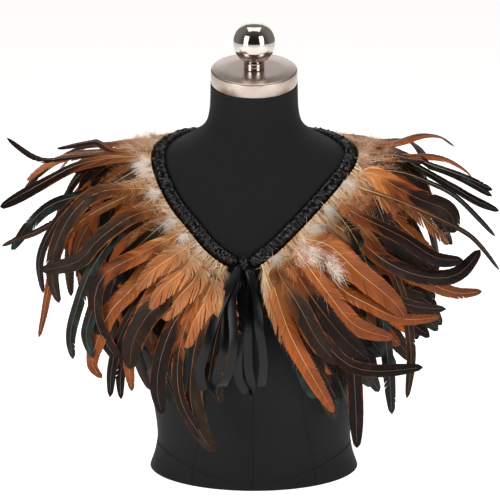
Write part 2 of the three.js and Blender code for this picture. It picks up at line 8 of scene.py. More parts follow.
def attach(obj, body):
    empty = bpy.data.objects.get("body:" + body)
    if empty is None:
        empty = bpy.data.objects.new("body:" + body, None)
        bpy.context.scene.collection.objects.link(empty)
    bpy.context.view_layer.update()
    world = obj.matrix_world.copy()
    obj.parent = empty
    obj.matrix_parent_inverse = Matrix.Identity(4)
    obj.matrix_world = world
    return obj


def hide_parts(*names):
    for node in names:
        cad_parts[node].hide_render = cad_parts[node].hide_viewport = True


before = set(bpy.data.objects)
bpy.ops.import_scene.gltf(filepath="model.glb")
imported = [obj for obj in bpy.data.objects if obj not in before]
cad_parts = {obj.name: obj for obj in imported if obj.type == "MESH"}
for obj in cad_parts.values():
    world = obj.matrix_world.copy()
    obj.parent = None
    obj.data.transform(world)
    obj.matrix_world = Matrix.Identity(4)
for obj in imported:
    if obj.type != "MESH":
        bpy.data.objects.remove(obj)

mm = 0.001
deg = math.pi / 180
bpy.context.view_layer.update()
scene = bpy.context.scene
scene.view_settings.view_transform = "Standard"
bpy.ops.object.select_all(action="DESELECT")

# camera, in mm: 15 degrees above the horizon and 2 m from the cape
camera = {"spot": (-5, -1931.85, 803.4), "aim": (-5, 0, 285.8), "lens": 115.2, "pixels": 1600}
bpy.ops.object.camera_add(location=Vector(camera["spot"]) * mm)
eye = bpy.context.object
eye.name = "view_camera"
eye.data.lens = camera["lens"]
eye.data.sensor_width = 36
lookWay = (Vector(camera["aim"]) - Vector(camera["spot"])).normalized()
eye.rotation_euler = lookWay.to_track_quat("-Z", "Y").to_euler()
scene.camera = eye


def seenAt(column, row, depth):
    # the point in mm seen at this spot of the 500 x 500 picture, at a depth y
    ray = lookWay + Vector((1, 0, 0)) * ((column - 250) / camera["pixels"])
    ray += Vector((1, 0, 0)).cross(lookWay) * ((250 - row) / camera["pixels"])
    return np.array(Vector(camera["spot"]) + ray * ((depth - camera["spot"][1]) / ray.y))


# materials: small helpers
def hexColour(code):
    channels = [int(code[i:i + 2], 16) / 255 for i in (1, 3, 5)]
    return tuple(c / 12.92 if c <= 0.04045 else ((c + 0.055) / 1.055) ** 2.4 for c in channels) + (1,)


def addNode(tree, kind, settings=None, links=None):
    # lower case names are the node's own settings, the others and the numbers are its sockets
    node = tree.nodes.new("ShaderNode" + kind)
    for key, value in (settings or {}).items():
        if key == "stops":
            ramp = node.color_ramp.elements
            while len(ramp) < len(value):
                ramp.new(0.5)
            for element, (place, colour) in zip(ramp, value):
                element.position = place
                element.color = hexColour(colour)
        elif isinstance(key, str) and key[0].islower():
            setattr(node, key, value)
        else:
            node.inputs[key].default_value = value
    joinTo(tree, node, links or {})
    return node


def joinTo(tree, node, links):
    # a link starts at a socket, or at a node's first output
    for key, source in links.items():
        tree.links.new(source.outputs[0] if hasattr(source, "outputs") else source, node.inputs[key])


def newMaterial(name, settings):
    material = bpy.data.materials.new(name)
    material.use_nodes = True
    shader = material.node_tree.nodes["Principled BSDF"]
    for key, value in settings.items():
        shader.inputs[key].default_value = value
    return material, material.node_tree, shader


noiseSpan = {"From Min": 0.25, "From Max": 0.75}  # the noise seldom goes past these
keratinIor = 1.54

# feathers: keratin barbs hooked side by side, a soft gloss broken into fine lines that run off the quill
# the vane map is 0 to 1 across and along, the barbs map is mm along the quill and mm out from it
# each kind's shine colour is painted sheen: mixed into the base colour in patches, it stands for the gloss
# and, on the dark kinds, the green iridescence
featherLooks = {
    "ginger": {"along": [(0.0, "#F0D6B4"), (0.16, "#DDA068"), (0.45, "#B87240"), (0.75, "#A05C2E"),
                         (1.0, "#86481F")],
               "margin": "#BE7A44", "marginFrom": 0.72, "paintedSheen": "#D4925A", "paintedSheenShare": 0.3,
               "rough": 0.62, "gloss": 0.18, "sheen": 0.3, "streak": (0.58, 1.32)},
    "rust": {"along": [(0.0, "#E6B884"), (0.2, "#B86F3A"), (0.5, "#8E4819"), (1.0, "#6C300B")],
             "margin": "#9C4C17", "marginFrom": 0.7, "paintedSheen": "#B2612A", "paintedSheenShare": 0.25,
             "rough": 0.52, "gloss": 0.16, "sheen": 0.05, "streak": (0.56, 1.32)},
    "edged": {"along": [(0.0, "#E0B484"), (0.14, "#BA733C"), (0.33, "#7E3F1B"), (0.48, "#20110B"),
                        (1.0, "#0E0806")],
              "margin": "#8A4418", "marginFrom": 0.84, "paintedSheen": "#33201A", "paintedSheenShare": 0.4,
              "rough": 0.44, "gloss": 0.085, "sheen": 0.0, "streak": (0.5, 1.45)},
    "halved": {"along": [(0.0, "#E4BE8E"), (0.16, "#C07A42"), (0.36, "#884820"), (0.52, "#1E110B"),
                         (1.0, "#100907")],
               "margin": "#A85722", "marginFrom": 0.0, "oneSide": True, "paintedSheen": "#422A20",
               "paintedSheenShare": 0.35, "rough": 0.46, "gloss": 0.085, "sheen": 0.03, "streak": (0.55, 1.4)},
    "olive": {"along": [(0.0, "#DCB282"), (0.15, "#AC6C3A"), (0.34, "#683D1E"), (0.52, "#261910"),
                        (1.0, "#2A180D")],
              "margin": "#8C4F22", "marginFrom": 0.82, "paintedSheen": "#3C3122", "paintedSheenShare": 0.45,
              "rough": 0.46, "gloss": 0.09, "sheen": 0.0, "streak": (0.56, 1.4)},
    "greenBlack": {"along": [(0.0, "#B48C62"), (0.12, "#3E281B"), (0.3, "#100C09"), (1.0, "#090A08")],
                   "margin": "#361E14", "marginFrom": 0.9, "paintedSheen": "#2C5244", "paintedSheenShare": 0.36,
                   "rough": 0.38, "gloss": 0.14, "sheen": 0.0, "streak": (0.45, 1.5)},
}


def featherMaterial(name, look):
    material, tree, shader = newMaterial(name, {
        "Roughness": look["rough"], "IOR": keratinIor, "Specular IOR Level": look["gloss"],
        "Sheen Weight": look["sheen"], "Sheen Roughness": 0.45})
    vane = addNode(tree, "UVMap", {"uv_map": "vane"})
    barbs = addNode(tree, "UVMap", {"uv_map": "barbs"})
    tone = addNode(tree, "Attribute", {"attribute_name": "tone"}).outputs["Fac"]
    place = addNode(tree, "SeparateXYZ", links={0: vane})
    barb = addNode(tree, "SeparateXYZ", links={0: barbs})
    depth = addNode(tree, "Math", {"operation": "MULTIPLY", 1: 90.0}, {0: tone})  # each feather its own noise
    point = addNode(tree, "CombineXYZ", links={0: barb.outputs[0], 1: barb.outputs[1], 2: depth})
    # a barb is 0.4 mm wide: drawn about 1.3 mm wide so that it shows
    fine = addNode(tree, "Mapping", {"Scale": (0.75, 0.045, 1.0)}, {"Vector": point})
    streak = addNode(tree, "TexNoise", {"Scale": 1.0, "Detail": 3.0}, {"Vector": fine})
    wide = addNode(tree, "Mapping", {"Scale": (0.045, 0.07, 1.0)}, {"Vector": point})
    blotch = addNode(tree, "TexNoise", {"Scale": 1.0, "Detail": 2.0}, {"Vector": wide})
    shift = addNode(tree, "MapRange", {**noiseSpan, "To Min": -0.14, "To Max": 0.14}, {"Value": blotch})
    along = addNode(tree, "Math", {"operation": "ADD"}, {0: place.outputs[1], 1: shift})
    body = addNode(tree, "ValToRGB", {"stops": look["along"]}, {0: along})
    across = addNode(tree, "Math", {"operation": "SUBTRACT", 1: 0.5}, {0: place})
    if "oneSide" not in look:
        across = addNode(tree, "Math", {"operation": "ABSOLUTE"}, {0: across})
    ragged = addNode(tree, "Math", {"operation": "MULTIPLY_ADD", 1: 2.0}, {0: across, 2: shift})
    start = look["marginFrom"]
    margin = addNode(tree, "MapRange", {"From Min": start, "From Max": start + 0.16}, {"Value": ragged})
    edged = addNode(tree, "Mix", {"data_type": "RGBA", 7: hexColour(look["margin"])}, {0: margin, 6: body})
    # painted sheen: noise patches where the shine colour is mixed into the base colour
    spots = addNode(tree, "SeparateColor", links={0: blotch.outputs[1]})
    paintedSheen = addNode(tree, "MapRange", {"From Min": 0.5, "From Max": 0.68, "To Max": look["paintedSheenShare"]},
                    {"Value": spots.outputs[1]})
    withPaintedSheen = addNode(tree, "Mix", {"data_type": "RGBA", 7: hexColour(look["paintedSheen"])},
                    {0: paintedSheen, 6: edged.outputs[2]})
    # the streak noise that makes the bump also sets the brightness: partly the barbs' own streaky colour,
    # partly painted highlight on their ridges and painted shade in the grooves between them
    dim, bright = look["streak"]
    lines = addNode(tree, "MapRange", {**noiseSpan, "To Min": dim, "To Max": bright}, {"Value": streak})
    whole = addNode(tree, "MapRange", {"To Min": 0.62, "To Max": 1.08}, {"Value": tone})
    light = addNode(tree, "Math", {"operation": "MULTIPLY"}, {0: lines, 1: whole})
    final = addNode(tree, "HueSaturation", links={"Value": light, "Color": withPaintedSheen.outputs[2]})
    bump = addNode(tree, "Bump", {"Strength": 0.5, "Distance": 0.35 * mm}, {"Height": streak})
    joinTo(tree, shader, {"Base Color": final, "Normal": bump})
    return material


def quillMaterial(name, stops):
    # the quill is a hollow horn tube, glassy and paler than its vane
    material, tree, shader = newMaterial(name, {"Roughness": 0.36, "IOR": keratinIor, "Coat Weight": 0.2})
    vane = addNode(tree, "UVMap", {"uv_map": "vane"})
    place = addNode(tree, "SeparateXYZ", links={0: vane})
    stripe = addNode(tree, "Mapping", {"Scale": (1.0, 40.0, 1.0)}, {"Vector": vane})
    fleck = addNode(tree, "TexNoise", {"Scale": 3.0, "Detail": 2.0}, {"Vector": stripe})
    shift = addNode(tree, "MapRange", {**noiseSpan, "To Min": -0.05, "To Max": 0.05}, {"Value": fleck})
    along = addNode(tree, "Math", {"operation": "ADD"}, {0: place.outputs[1], 1: shift})
    colour = addNode(tree, "ValToRGB", {"stops": stops}, {0: along})
    bump = addNode(tree, "Bump", {"Strength": 0.2, "Distance": 0.1 * mm}, {"Height": fleck})
    joinTo(tree, shader, {"Base Color": colour, "Normal": bump})
    return material


def downMaterial(name):
    # down is loose fluff: no gloss, a pale halo where light comes through
    material, tree, shader = newMaterial(name, {"Roughness": 0.9, "Sheen Weight": 0.5,
                                                "Sheen Roughness": 0.6, "Specular IOR Level": 0.2})
    tone = addNode(tree, "Attribute", {"attribute_name": "tone"}).outputs["Fac"]
    spot = addNode(tree, "TexCoord").outputs["Object"]
    noise = addNode(tree, "TexNoise", {"Scale": 90.0, "Detail": 2.0}, {"Vector": spot})  # 11 mm patches
    shift = addNode(tree, "MapRange", {**noiseSpan, "To Min": -0.12, "To Max": 0.12}, {"Value": noise})
    mixed = addNode(tree, "Math", {"operation": "ADD"}, {0: tone, 1: shift})
    stops = [(0.0, "#F2E8DF"), (0.35, "#E6CFB6"), (0.65, "#C99A6E"), (1.0, "#B06A38")]
    colour = addNode(tree, "ValToRGB", {"stops": stops}, {0: mixed})
    joinTo(tree, shader, {"Base Color": colour})
    return material


def jerseyMaterial(name):
    # cotton stretch jersey pulled over padding: matt, with fine ribs that run down the form
    material, tree, shader = newMaterial(name, {"Roughness": 0.86, "Sheen Weight": 0.06,
                                                "Sheen Roughness": 0.5, "Specular IOR Level": 0.25})
    cloth = addNode(tree, "UVMap", {"uv_map": "cloth"})  # mm round and mm up
    rib = addNode(tree, "TexWave", {"wave_type": "BANDS", "bands_direction": "X", "Scale": 0.13,
                                    "Distortion": 0.6, "Detail": 1.0}, {"Vector": cloth})
    pill = addNode(tree, "TexNoise", {"Scale": 0.35, "Detail": 4.0, "Roughness": 0.6}, {"Vector": cloth})
    height = addNode(tree, "Math", {"operation": "ADD"}, {0: rib.outputs["Fac"], 1: pill})
    # painted shade: the colour follows the height of the ribs and pills that the bump uses, darker in the
    # knit's grooves
    paintedGrooveShade = addNode(tree, "MapRange", {**noiseSpan, "To Min": 0.0, "To Max": 0.6}, {"Value": height})
    colour = addNode(tree, "ValToRGB", {"stops": [(0.3, "#090809"), (0.8, "#111011")]}, {0: paintedGrooveShade})
    bump = addNode(tree, "Bump", {"Strength": 0.35, "Distance": 0.25 * mm}, {"Height": height})
    joinTo(tree, shader, {"Base Color": colour, "Normal": bump})
    return material


def satinMaterial(name, dark, pale, rough, gloss):
    # polyester satin: long floats lie one way, so it is glossy along the folds
    material, tree, shader = newMaterial(name, {"Roughness": rough, "Specular IOR Level": gloss,
                                                "Anisotropic": 0.4})
    cloth = addNode(tree, "UVMap", {"uv_map": "cloth"})
    floats = addNode(tree, "Mapping", {"Scale": (2.2, 0.25, 1.0)}, {"Vector": cloth})
    thread = addNode(tree, "TexNoise", {"Scale": 1.0, "Detail": 3.0}, {"Vector": floats})
    colour = addNode(tree, "ValToRGB", {"stops": [(0.3, dark), (0.75, pale)]}, {0: thread})
    bump = addNode(tree, "Bump", {"Strength": 0.25, "Distance": 0.12 * mm}, {"Height": thread})
    joinTo(tree, shader, {"Base Color": colour, "Normal": bump})
    return material


def turnedMetal(name, colour, rough, grooves):
    # turned on a lathe: fine rings round the axis that stretch each highlight across them
    material, tree, shader = newMaterial(name, {"Base Color": hexColour(colour), "Metallic": 1.0,
                                                "Roughness": rough})
    spot = addNode(tree, "TexCoord").outputs["Object"]
    upright = addNode(tree, "Mapping", {"vector_type": "TEXTURE", "Location": (0, 0, topOfNeck["z"] * mm),
                                        "Rotation": (topOfNeck["tilt"] * deg, 0, 0)}, {"Vector": spot})
    flat = addNode(tree, "VectorMath", {"operation": "MULTIPLY", 1: (1 / mm, 1 / mm, 0)}, {0: upright})
    radius = addNode(tree, "VectorMath", {"operation": "LENGTH"}, {0: flat})
    tall = addNode(tree, "SeparateXYZ", links={0: upright})
    ring = addNode(tree, "Math", {"operation": "MULTIPLY_ADD", 1: 1 / mm},
                   {0: tall.outputs[2], 2: radius.outputs["Value"]})
    lines = addNode(tree, "TexNoise", {"noise_dimensions": "1D", "Scale": 2.5, "Detail": 3.0},
                    {"W": ring})  # 0.4 mm lines
    smudge = addNode(tree, "TexNoise", {"Scale": 45.0, "Detail": 3.0}, {"Vector": spot})
    both = addNode(tree, "Math", {"operation": "MULTIPLY"}, {0: lines, 1: smudge})
    varied = addNode(tree, "MapRange", {"From Max": 0.5, "To Min": rough * 0.8, "To Max": rough * 1.35},
                     {"Value": both})
    bump = addNode(tree, "Bump", {"Strength": grooves, "Distance": 0.05 * mm}, {"Height": lines})
    joinTo(tree, shader, {"Roughness": varied, "Normal": bump})
    return material


topOfNeck = {"base": 443, "z": 497, "tilt": 13.7}
featherKinds = list(featherLooks)
paint = {
    **{kind: featherMaterial(kind + "_hackle", look) for kind, look in featherLooks.items()},
    "paleQuill": quillMaterial("pale_quill", [(0.0, "#EAD2A6"), (0.3, "#E0B274"), (1.0, "#A85E2C")]),
    "brownQuill": quillMaterial("brown_quill", [(0.0, "#E8CFA0"), (0.25, "#A87242"), (0.6, "#6E4426"),
                                               (1.0, "#3A2416")]),
    "down": downMaterial("down_fluff"),
    "jersey": jerseyMaterial("stretch_jersey"),
    "bandSatin": satinMaterial("gathered_satin", "#020203", "#070809", 0.24, 0.27),
    "ribbonSatin": satinMaterial("ribbon_satin", "#030304", "#08090C", 0.32, 0.24),
    "tape": satinMaterial("header_tape_cotton", "#8A5A34", "#B8834F", 0.8, 0.2),
    "steel": turnedMetal("brushed_steel", "#B5A79E", 0.28, 0.35),
    "chrome": turnedMetal("polished_chrome", "#C6BFB8", 0.07, 0.03),
}
featherSlots = featherKinds + ["paleQuill", "brownQuill", "down"]
print("materials made")


# the dress form's surface, in mm: half width, middle, front and back depth at each height z
formSections = np.array([
    [0, 134, 0, 90, 76], [22, 127, 0, 85, 70], [43, 124, 0, 84, 67], [75, 127, 0, 86, 69],
    [105, 133, 0, 90, 72], [150, 144, 0, 103, 78], [185, 152, 0, 116, 84], [212, 156, 0, 121, 88],
    [240, 159, 0, 117, 92], [265, 162, 0, 110, 95], [297, 167, 1, 102, 98], [325, 173, 3, 97, 99],
    [350, 178, 6, 92, 97], [372, 180, 9, 87, 93], [388, 171, 11, 82, 87], [400, 152, 12, 77, 81],
    [410, 128, 12, 72, 77], [418, 109, 12, 69, 73], [426, 91, 12, 66, 69], [434, 75, 12, 63, 65],
    [443, 62, 11, 60, 61], [452, 57, 9, 57, 57], [470, 54, 5, 54, 54], [497, 53, 0, 53, 53]], float)


def smoothAt(table, at):
    # a smooth curve without overshoot through a table whose first column is the place
    x = table[:, 0]
    at = np.clip(np.asarray(at, float), x[0], x[-1])
    i = np.clip(np.searchsorted(x, at, side="left") - 1, 0, len(x) - 2)
    step = np.diff(x)
    rise = np.diff(table[:, 1:], axis=0) / step[:, None]
    before, after = rise[:-1], rise[1:]
    both = np.where(before + after == 0, 1, before + after)
    inner = np.where(before * after <= 0, 0, 2 * before * after / both)
    slope = np.vstack([rise[:1], inner, rise[-1:]])
    width = step[i][..., None]
    t = ((at - x[i]) / step[i])[..., None]
    low, high = table[i, 1:], table[i + 1, 1:]
    return (low + (high - low) * t * t * (3 - 2 * t)
            + width * (slope[i] * t * (1 - t) ** 2 - slope[i + 1] * t * t * (1 - t)))


def formShare(p):
    half, mid, front, back = np.moveaxis(smoothAt(formSections, p[..., 2]), -1, 0)
    deep = p[..., 1] - mid
    return np.hypot(p[..., 0] / half, deep / np.where(deep < 0, front, back))


def formSurface(p):
    # the way out of the form at p, and how far p is from its surface
    slope = np.empty_like(p)
    for k in range(3):
        nudge = np.zeros(3)
        nudge[k] = 0.5
        slope[..., k] = formShare(p + nudge) - formShare(p - nudge)
    size = np.linalg.norm(slope, axis=-1)
    return slope / np.maximum(size, 1e-9)[..., None], (formShare(p) - 1) / np.maximum(size, 0.004)


def setAbove(p, height, onlyOut=False):
    # p moved to this height over the form, or only lifted where it lies lower
    p = p.copy()
    for _ in range(4):
        normal, distance = formSurface(p)
        move = height - distance
        if onlyOut:
            move = np.maximum(move, 0)
        p += normal * move[..., None]
    return p


def unit(v):
    return v / np.maximum(np.linalg.norm(v, axis=-1, keepdims=True), 1e-9)


def turned(v, axis, angle):
    c, s = np.cos(angle)[..., None], np.sin(angle)[..., None]
    return v * c + np.cross(axis, v) * s + axis * (axis * v).sum(-1, keepdims=True) * (1 - c)


def curveThrough(points, share):
    points = np.asarray(points, float)
    spans = len(points) - 1
    at = np.asarray(share, float) * spans
    i = np.clip(np.floor(at).astype(int), 0, spans - 1)
    t = (at - i)[..., None]
    a, b, c, d = (points[np.clip(i + k, 0, spans)] for k in (-1, 0, 1, 2))
    return 0.5 * (2 * b + (c - a) * t + (2 * a - 5 * b + 4 * c - d) * t ** 2
                  + (3 * b - a - 3 * c + d) * t ** 3)


def chance(i, k):
    # a fixed number from 0 to 1 for feather i of row k
    x = np.sin(i * 127.1 + k * 311.7) * 43758.5453
    return x - np.floor(x)


# the neckline: the line that the neckband is sewn on, from the bow round the neck and back to the bow
necklinePoints = [
    (-20, -103, 299), (-33, -101, 303), (-52, -95, 317), (-73, -84, 340), (-91, -73, 360), (-105, -60, 382),
    (-114, -38, 402), (-114, -8, 416), (-99, 26, 421), (-70, 60, 419), (-36, 81, 417), (0, 88, 416),
    (36, 81, 417), (70, 60, 419), (100, 26, 421), (117, -8, 415), (113, -38, 403), (95, -62, 386),
    (78, -74, 369), (56, -85, 347), (27, -98, 320), (6, -103, 304), (-5, -104, 298)]
necklineSteps = 320
rough = setAbove(curveThrough(necklinePoints, np.arange(necklineSteps + 1) / necklineSteps), 0)
run = np.r_[0, np.cumsum(np.linalg.norm(np.diff(rough, axis=0), axis=1))]
necklineLength = run[-1]
evenRun = np.arange(necklineSteps + 1) * necklineLength / necklineSteps
neckline = np.stack([np.interp(evenRun, run, rough[:, k]) for k in range(3)], 1)
neckMiddle = np.array([0, 12, 470])


def neckFrame(share):
    # a point of the neckline, the form's normal there and the way out from the neck
    at = np.clip(share, 0, 1) * necklineSteps
    i = np.minimum(np.floor(at).astype(int), necklineSteps - 1)
    f = (at - i)[..., None]
    p = neckline[i] * (1 - f) + neckline[i + 1] * f
    along = unit(neckline[np.minimum(i + 5, necklineSteps)] - neckline[np.maximum(i - 4, 0)])
    normal, _ = formSurface(p)
    out = unit(np.cross(along, normal))
    inward = (out * (p - neckMiddle)).sum(-1) < 0
    return p, normal, np.where(inward[..., None], -out, out)


def besideNeck(frameOf, out, height):
    p, normal, away = frameOf
    out, height = np.asarray(out, float)[..., None], np.asarray(height, float)[..., None]
    return setAbove(p + away * out + normal * height, height[..., 0])


# a heap gathers the points and faces of one piece
def newHeap():
    return {"points": [], "quads": [], "tris": [], "quadPaint": [], "triPaint": [], "vane": [], "barbs": [],
            "tone": [], "count": 0}


def addToHeap(heap, points, quads, tris, material, vane=None, barbs=None, tone=0.5):
    size = len(points)
    heap["points"].append(points)
    for name, faces, sides in (("quads", quads, 4), ("tris", tris, 3)):
        faces = np.asarray(faces, int).reshape(-1, sides)
        heap[name].append(faces + heap["count"])
        heap[name[:-1] + "Paint"].append(np.full(len(faces), material))
    heap["vane"].append(np.zeros((size, 2)) if vane is None else vane)
    heap["barbs"].append(np.zeros((size, 2)) if barbs is None else barbs)
    heap["tone"].append(np.broadcast_to(tone, size))
    heap["count"] += size


def pieceFromHeap(name, heap, materials):
    points = np.concatenate(heap["points"]) * mm
    quads, tris = np.concatenate(heap["quads"]), np.concatenate(heap["tris"])
    corners = np.r_[quads.ravel(), tris.ravel()]
    mesh = bpy.data.meshes.new(name)
    mesh.vertices.add(len(points))
    mesh.vertices.foreach_set("co", points.ravel())
    mesh.loops.add(len(corners))
    mesh.loops.foreach_set("vertex_index", corners)
    mesh.polygons.add(len(quads) + len(tris))
    starts = np.r_[np.arange(len(quads)) * 4, len(quads) * 4 + np.arange(len(tris)) * 3]
    mesh.polygons.foreach_set("loop_start", starts)
    for material in materials:
        mesh.materials.append(paint[material])
    mesh.polygons.foreach_set("material_index", np.concatenate(heap["quadPaint"] + heap["triPaint"]))
    for layer in ("vane", "barbs"):
        mesh.uv_layers.new(name=layer).data.foreach_set("uv", np.concatenate(heap[layer])[corners].ravel())
    tone = mesh.attributes.new("tone", "FLOAT", "POINT")
    tone.data.foreach_set("value", np.concatenate(heap["tone"]).astype(np.float32))
    mesh.update(calc_edges=True)
    mesh.validate()
    piece = bpy.data.objects.new(name, mesh)
    scene.collection.objects.link(piece)
    return piece


def onlySelect(*things):
    bpy.ops.object.select_all(action="DESELECT")
    for thing in things:
        thing.select_set(True)
    bpy.context.view_layer.objects.active = things[0]


def faceOutward(piece, mergeBy=0):
    # turns the faces outward, after points nearer than mergeBy mm are merged
    onlySelect(piece)
    bpy.ops.object.mode_set(mode="EDIT")
    bpy.ops.mesh.select_all(action="SELECT")
    if mergeBy:
        bpy.ops.mesh.remove_doubles(threshold=mergeBy * mm)
    bpy.ops.mesh.normals_make_consistent(inside=False)
    bpy.ops.object.mode_set(mode="OBJECT")


def settle(piece, nodes, smooth):
    onlySelect(piece)
    bpy.ops.object.shade_smooth_by_angle(angle=smooth * deg)
    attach(piece, "root")
    if nodes:
        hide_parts(*nodes)
    triangles = sum(len(face.vertices) - 2 for face in piece.data.polygons)
    print(f"{piece.name}: {triangles} triangles")
    return piece


def tubeRings(rings):
    # quads of a skin over rings of points, and its two ends as fans
    count, sides = rings.shape[:2]
    i, k = np.meshgrid(np.arange(count - 1), np.arange(sides), indexing="ij")
    after = (k + 1) % sides
    quads = np.stack([i * sides + k, i * sides + after, (i + 1) * sides + after, (i + 1) * sides + k], -1)
    fan = np.arange(1, sides - 1)
    first = np.stack([np.zeros_like(fan), fan + 1, fan], -1)
    last = (count - 1) * sides + np.stack([np.zeros_like(fan), fan, fan + 1], -1)
    return rings.reshape(-1, 3), quads.reshape(-1, 4), np.concatenate([first, last])


# dress form: padded body under one jersey cover, its seams pressed open
form = {"sides": 128, "rings": 120, "levels": ([0, 0.62, 1], [0, 370, 497]), "clothRound": 900,
        "seamRadius": 0.55, "seams": [-77, -1.5, 76], "seamFrom": 2, "seamTo": 290,
        "waist": 34, "waistDrop": 26}


def formPoint(turn, z):
    half, mid, front, back = np.moveaxis(smoothAt(formSections, z), -1, 0)
    upNeck = np.maximum(0, (z - topOfNeck["base"]) / (topOfNeck["z"] - topOfNeck["base"]))
    tilt = upNeck * topOfNeck["tilt"] * deg
    deep = np.sin(turn) * np.where(np.sin(turn) < 0, front, back)
    return np.stack([half * np.cos(turn), mid + deep, z + deep * np.tan(tilt)], -1)


def seamTube(points, radius):
    # a fine raised line along the surface
    points = setAbove(points, 0.1)
    way = unit(np.gradient(points, axis=0))
    normal, _ = formSurface(points)
    side = unit(np.cross(way, normal))
    turn = np.arange(6) / 6 * 2 * math.pi
    return (points[:, None] + radius * (np.cos(turn)[None, :, None] * side[:, None]
                                        + np.sin(turn)[None, :, None] * normal[:, None]))


bpy.ops.mesh.primitive_grid_add(x_subdivisions=form["sides"], y_subdivisions=form["rings"], size=1)
body = bpy.context.object
body.name = "jersey_dress_form"
grid = np.array([corner.co[:2] for corner in body.data.vertices]) + 0.5
turn, rise = grid[:, 0] * 2 * math.pi - math.pi / 2, grid[:, 1]
level = np.interp(rise, *form["levels"])  # closer rings over the shoulders
shape = formPoint(turn, level)
body.data.vertices.foreach_set("co", (shape * mm).ravel())
clothMap = body.data.uv_layers[0]
clothMap.name = "cloth"
cornerOf = np.array([loop.vertex_index for loop in body.data.loops])
clothMap.data.foreach_set("uv", np.stack([grid[:, 0] * form["clothRound"], level], -1)[cornerOf].ravel())
onlySelect(body)
bpy.ops.object.mode_set(mode="EDIT")
bpy.ops.mesh.select_all(action="SELECT")
bpy.ops.mesh.remove_doubles(threshold=0.05 * mm)
bpy.ops.mesh.select_all(action="DESELECT")
bpy.ops.mesh.select_non_manifold()
bpy.ops.mesh.edge_face_add()
bpy.ops.mesh.select_all(action="SELECT")
bpy.ops.mesh.normals_make_consistent(inside=False)
bpy.ops.object.mode_set(mode="OBJECT")
body.data.materials.append(paint["jersey"])
seams = newHeap()
seamHeights = np.linspace(form["seamFrom"], form["seamTo"], 60)
for at in form["seams"]:
    half, mid, front, _ = np.moveaxis(smoothAt(formSections, seamHeights), -1, 0)
    bow = at * (1 - 0.25 * np.sin(np.clip((seamHeights - 20) / 270, 0, 1) * math.pi))
    line = np.stack([bow, mid - front * np.sqrt(1 - (bow / half) ** 2), seamHeights], -1)
    addToHeap(seams, *tubeRings(seamTube(line, form["seamRadius"])), 0)
for sign in (-1, 1):
    around = np.linspace(0.02, 0.46, 30) * math.pi
    high = form["waist"] - form["waistDrop"] * np.sin(around) ** 3
    line = formPoint(-around if sign > 0 else around - math.pi, high)
    addToHeap(seams, *tubeRings(seamTube(line, form["seamRadius"])), 0)
seamPiece = pieceFromHeap("seam_lines", seams, ["jersey"])
seamPiece.data.uv_layers.remove(seamPiece.data.uv_layers["barbs"])
seamPiece.data.uv_layers["vane"].name = "cloth"
onlySelect(body, seamPiece)
bpy.ops.object.join()
settle(body, ["dress_form"], 40)


# neck top: steel cap, collar and ball, turned shapes on the tilted top of the neck
neckTop = {"steps": 96, "ball": 25.4, "ballFoot": 10.5, "ballLow": 27.9}
ballMiddle = neckTop["ballLow"] + math.sqrt(neckTop["ball"] ** 2 - neckTop["ballFoot"] ** 2)
ballTurns = np.linspace(-math.acos(neckTop["ballFoot"] / neckTop["ball"]), math.pi / 2, 40)
turnedPieces = {
    "neck_cap": ("brushed_neck_cap", "steel", "cap_steel", [
        (0, 0.3), (51.5, 0.3), (52.3, 0.8), (52.5, 1.6), (52.5, 15.6), (52.2, 16.9), (51.3, 17.8), (50, 18.3),
        (30, 18.3), (14, 18.3), (0, 18.3)]),
    "ball_collar": ("turned_collar", "chrome", "ball_chrome", [
        (0, 18.6), (11.7, 18.6), (12.5, 19.3), (12.5, 22.6), (12.0, 23.0), (12.0, 23.4), (12.5, 23.8),
        (12.5, 26.9), (11.8, 27.6), (0, 27.6)]),
    "ball": ("polished_ball", "chrome", "ball_chrome", [(0, neckTop["ballLow"])] + [
        (neckTop["ball"] * math.cos(a), ballMiddle + neckTop["ball"] * math.sin(a)) for a in ballTurns]),
}
ontoNeck = (Matrix.Translation((0, 0, topOfNeck["z"] * mm))
            @ Matrix.Rotation(topOfNeck["tilt"] * deg, 4, "X"))
for node, (name, material, slotName, profile) in turnedPieces.items():
    mesh = bpy.data.meshes.new(name)
    edges = [(i, i + 1) for i in range(len(profile) - 1)]
    mesh.from_pydata([(r * mm, 0, h * mm) for r, h in profile], edges, [])
    piece = bpy.data.objects.new(name, mesh)
    scene.collection.objects.link(piece)
    onlySelect(piece)
    lathe = piece.modifiers.new("lathe", "SCREW")
    lathe.steps = lathe.render_steps = neckTop["steps"]
    lathe.use_merge_vertices = True
    bpy.ops.object.modifier_apply(modifier="lathe")
    faceOutward(piece, 0.01)
    piece.data.transform(ontoNeck)
    piece.data.materials.append(paint[material])
    settle(piece, [node], 28)
print("form and neck top made")


# neckband: a bias tube of satin drawn up on the neckline, its gathers uneven
band = {"half": 8.5, "bottom": 0.6, "top": 7.2, "rings": 1500, "over": 13, "under": 4, "wall": 0.35,
        "cut": (0.040, 1.05), "clothRound": 6.5, "clothLong": 1050,
        "waves": [(71, 0.0, 2.1, 1.2), (103, 1.3, -2.6, 1.1), (161, 2.1, 3.1, 0.8), (43, 0.4, 1.5, 0.8)]}


def bandHeight(share):
    taper = np.minimum(1, 0.62 + 24 * np.minimum(share, 1 - share))
    return taper, band["top"] * (0.75 + 0.25 * taper)


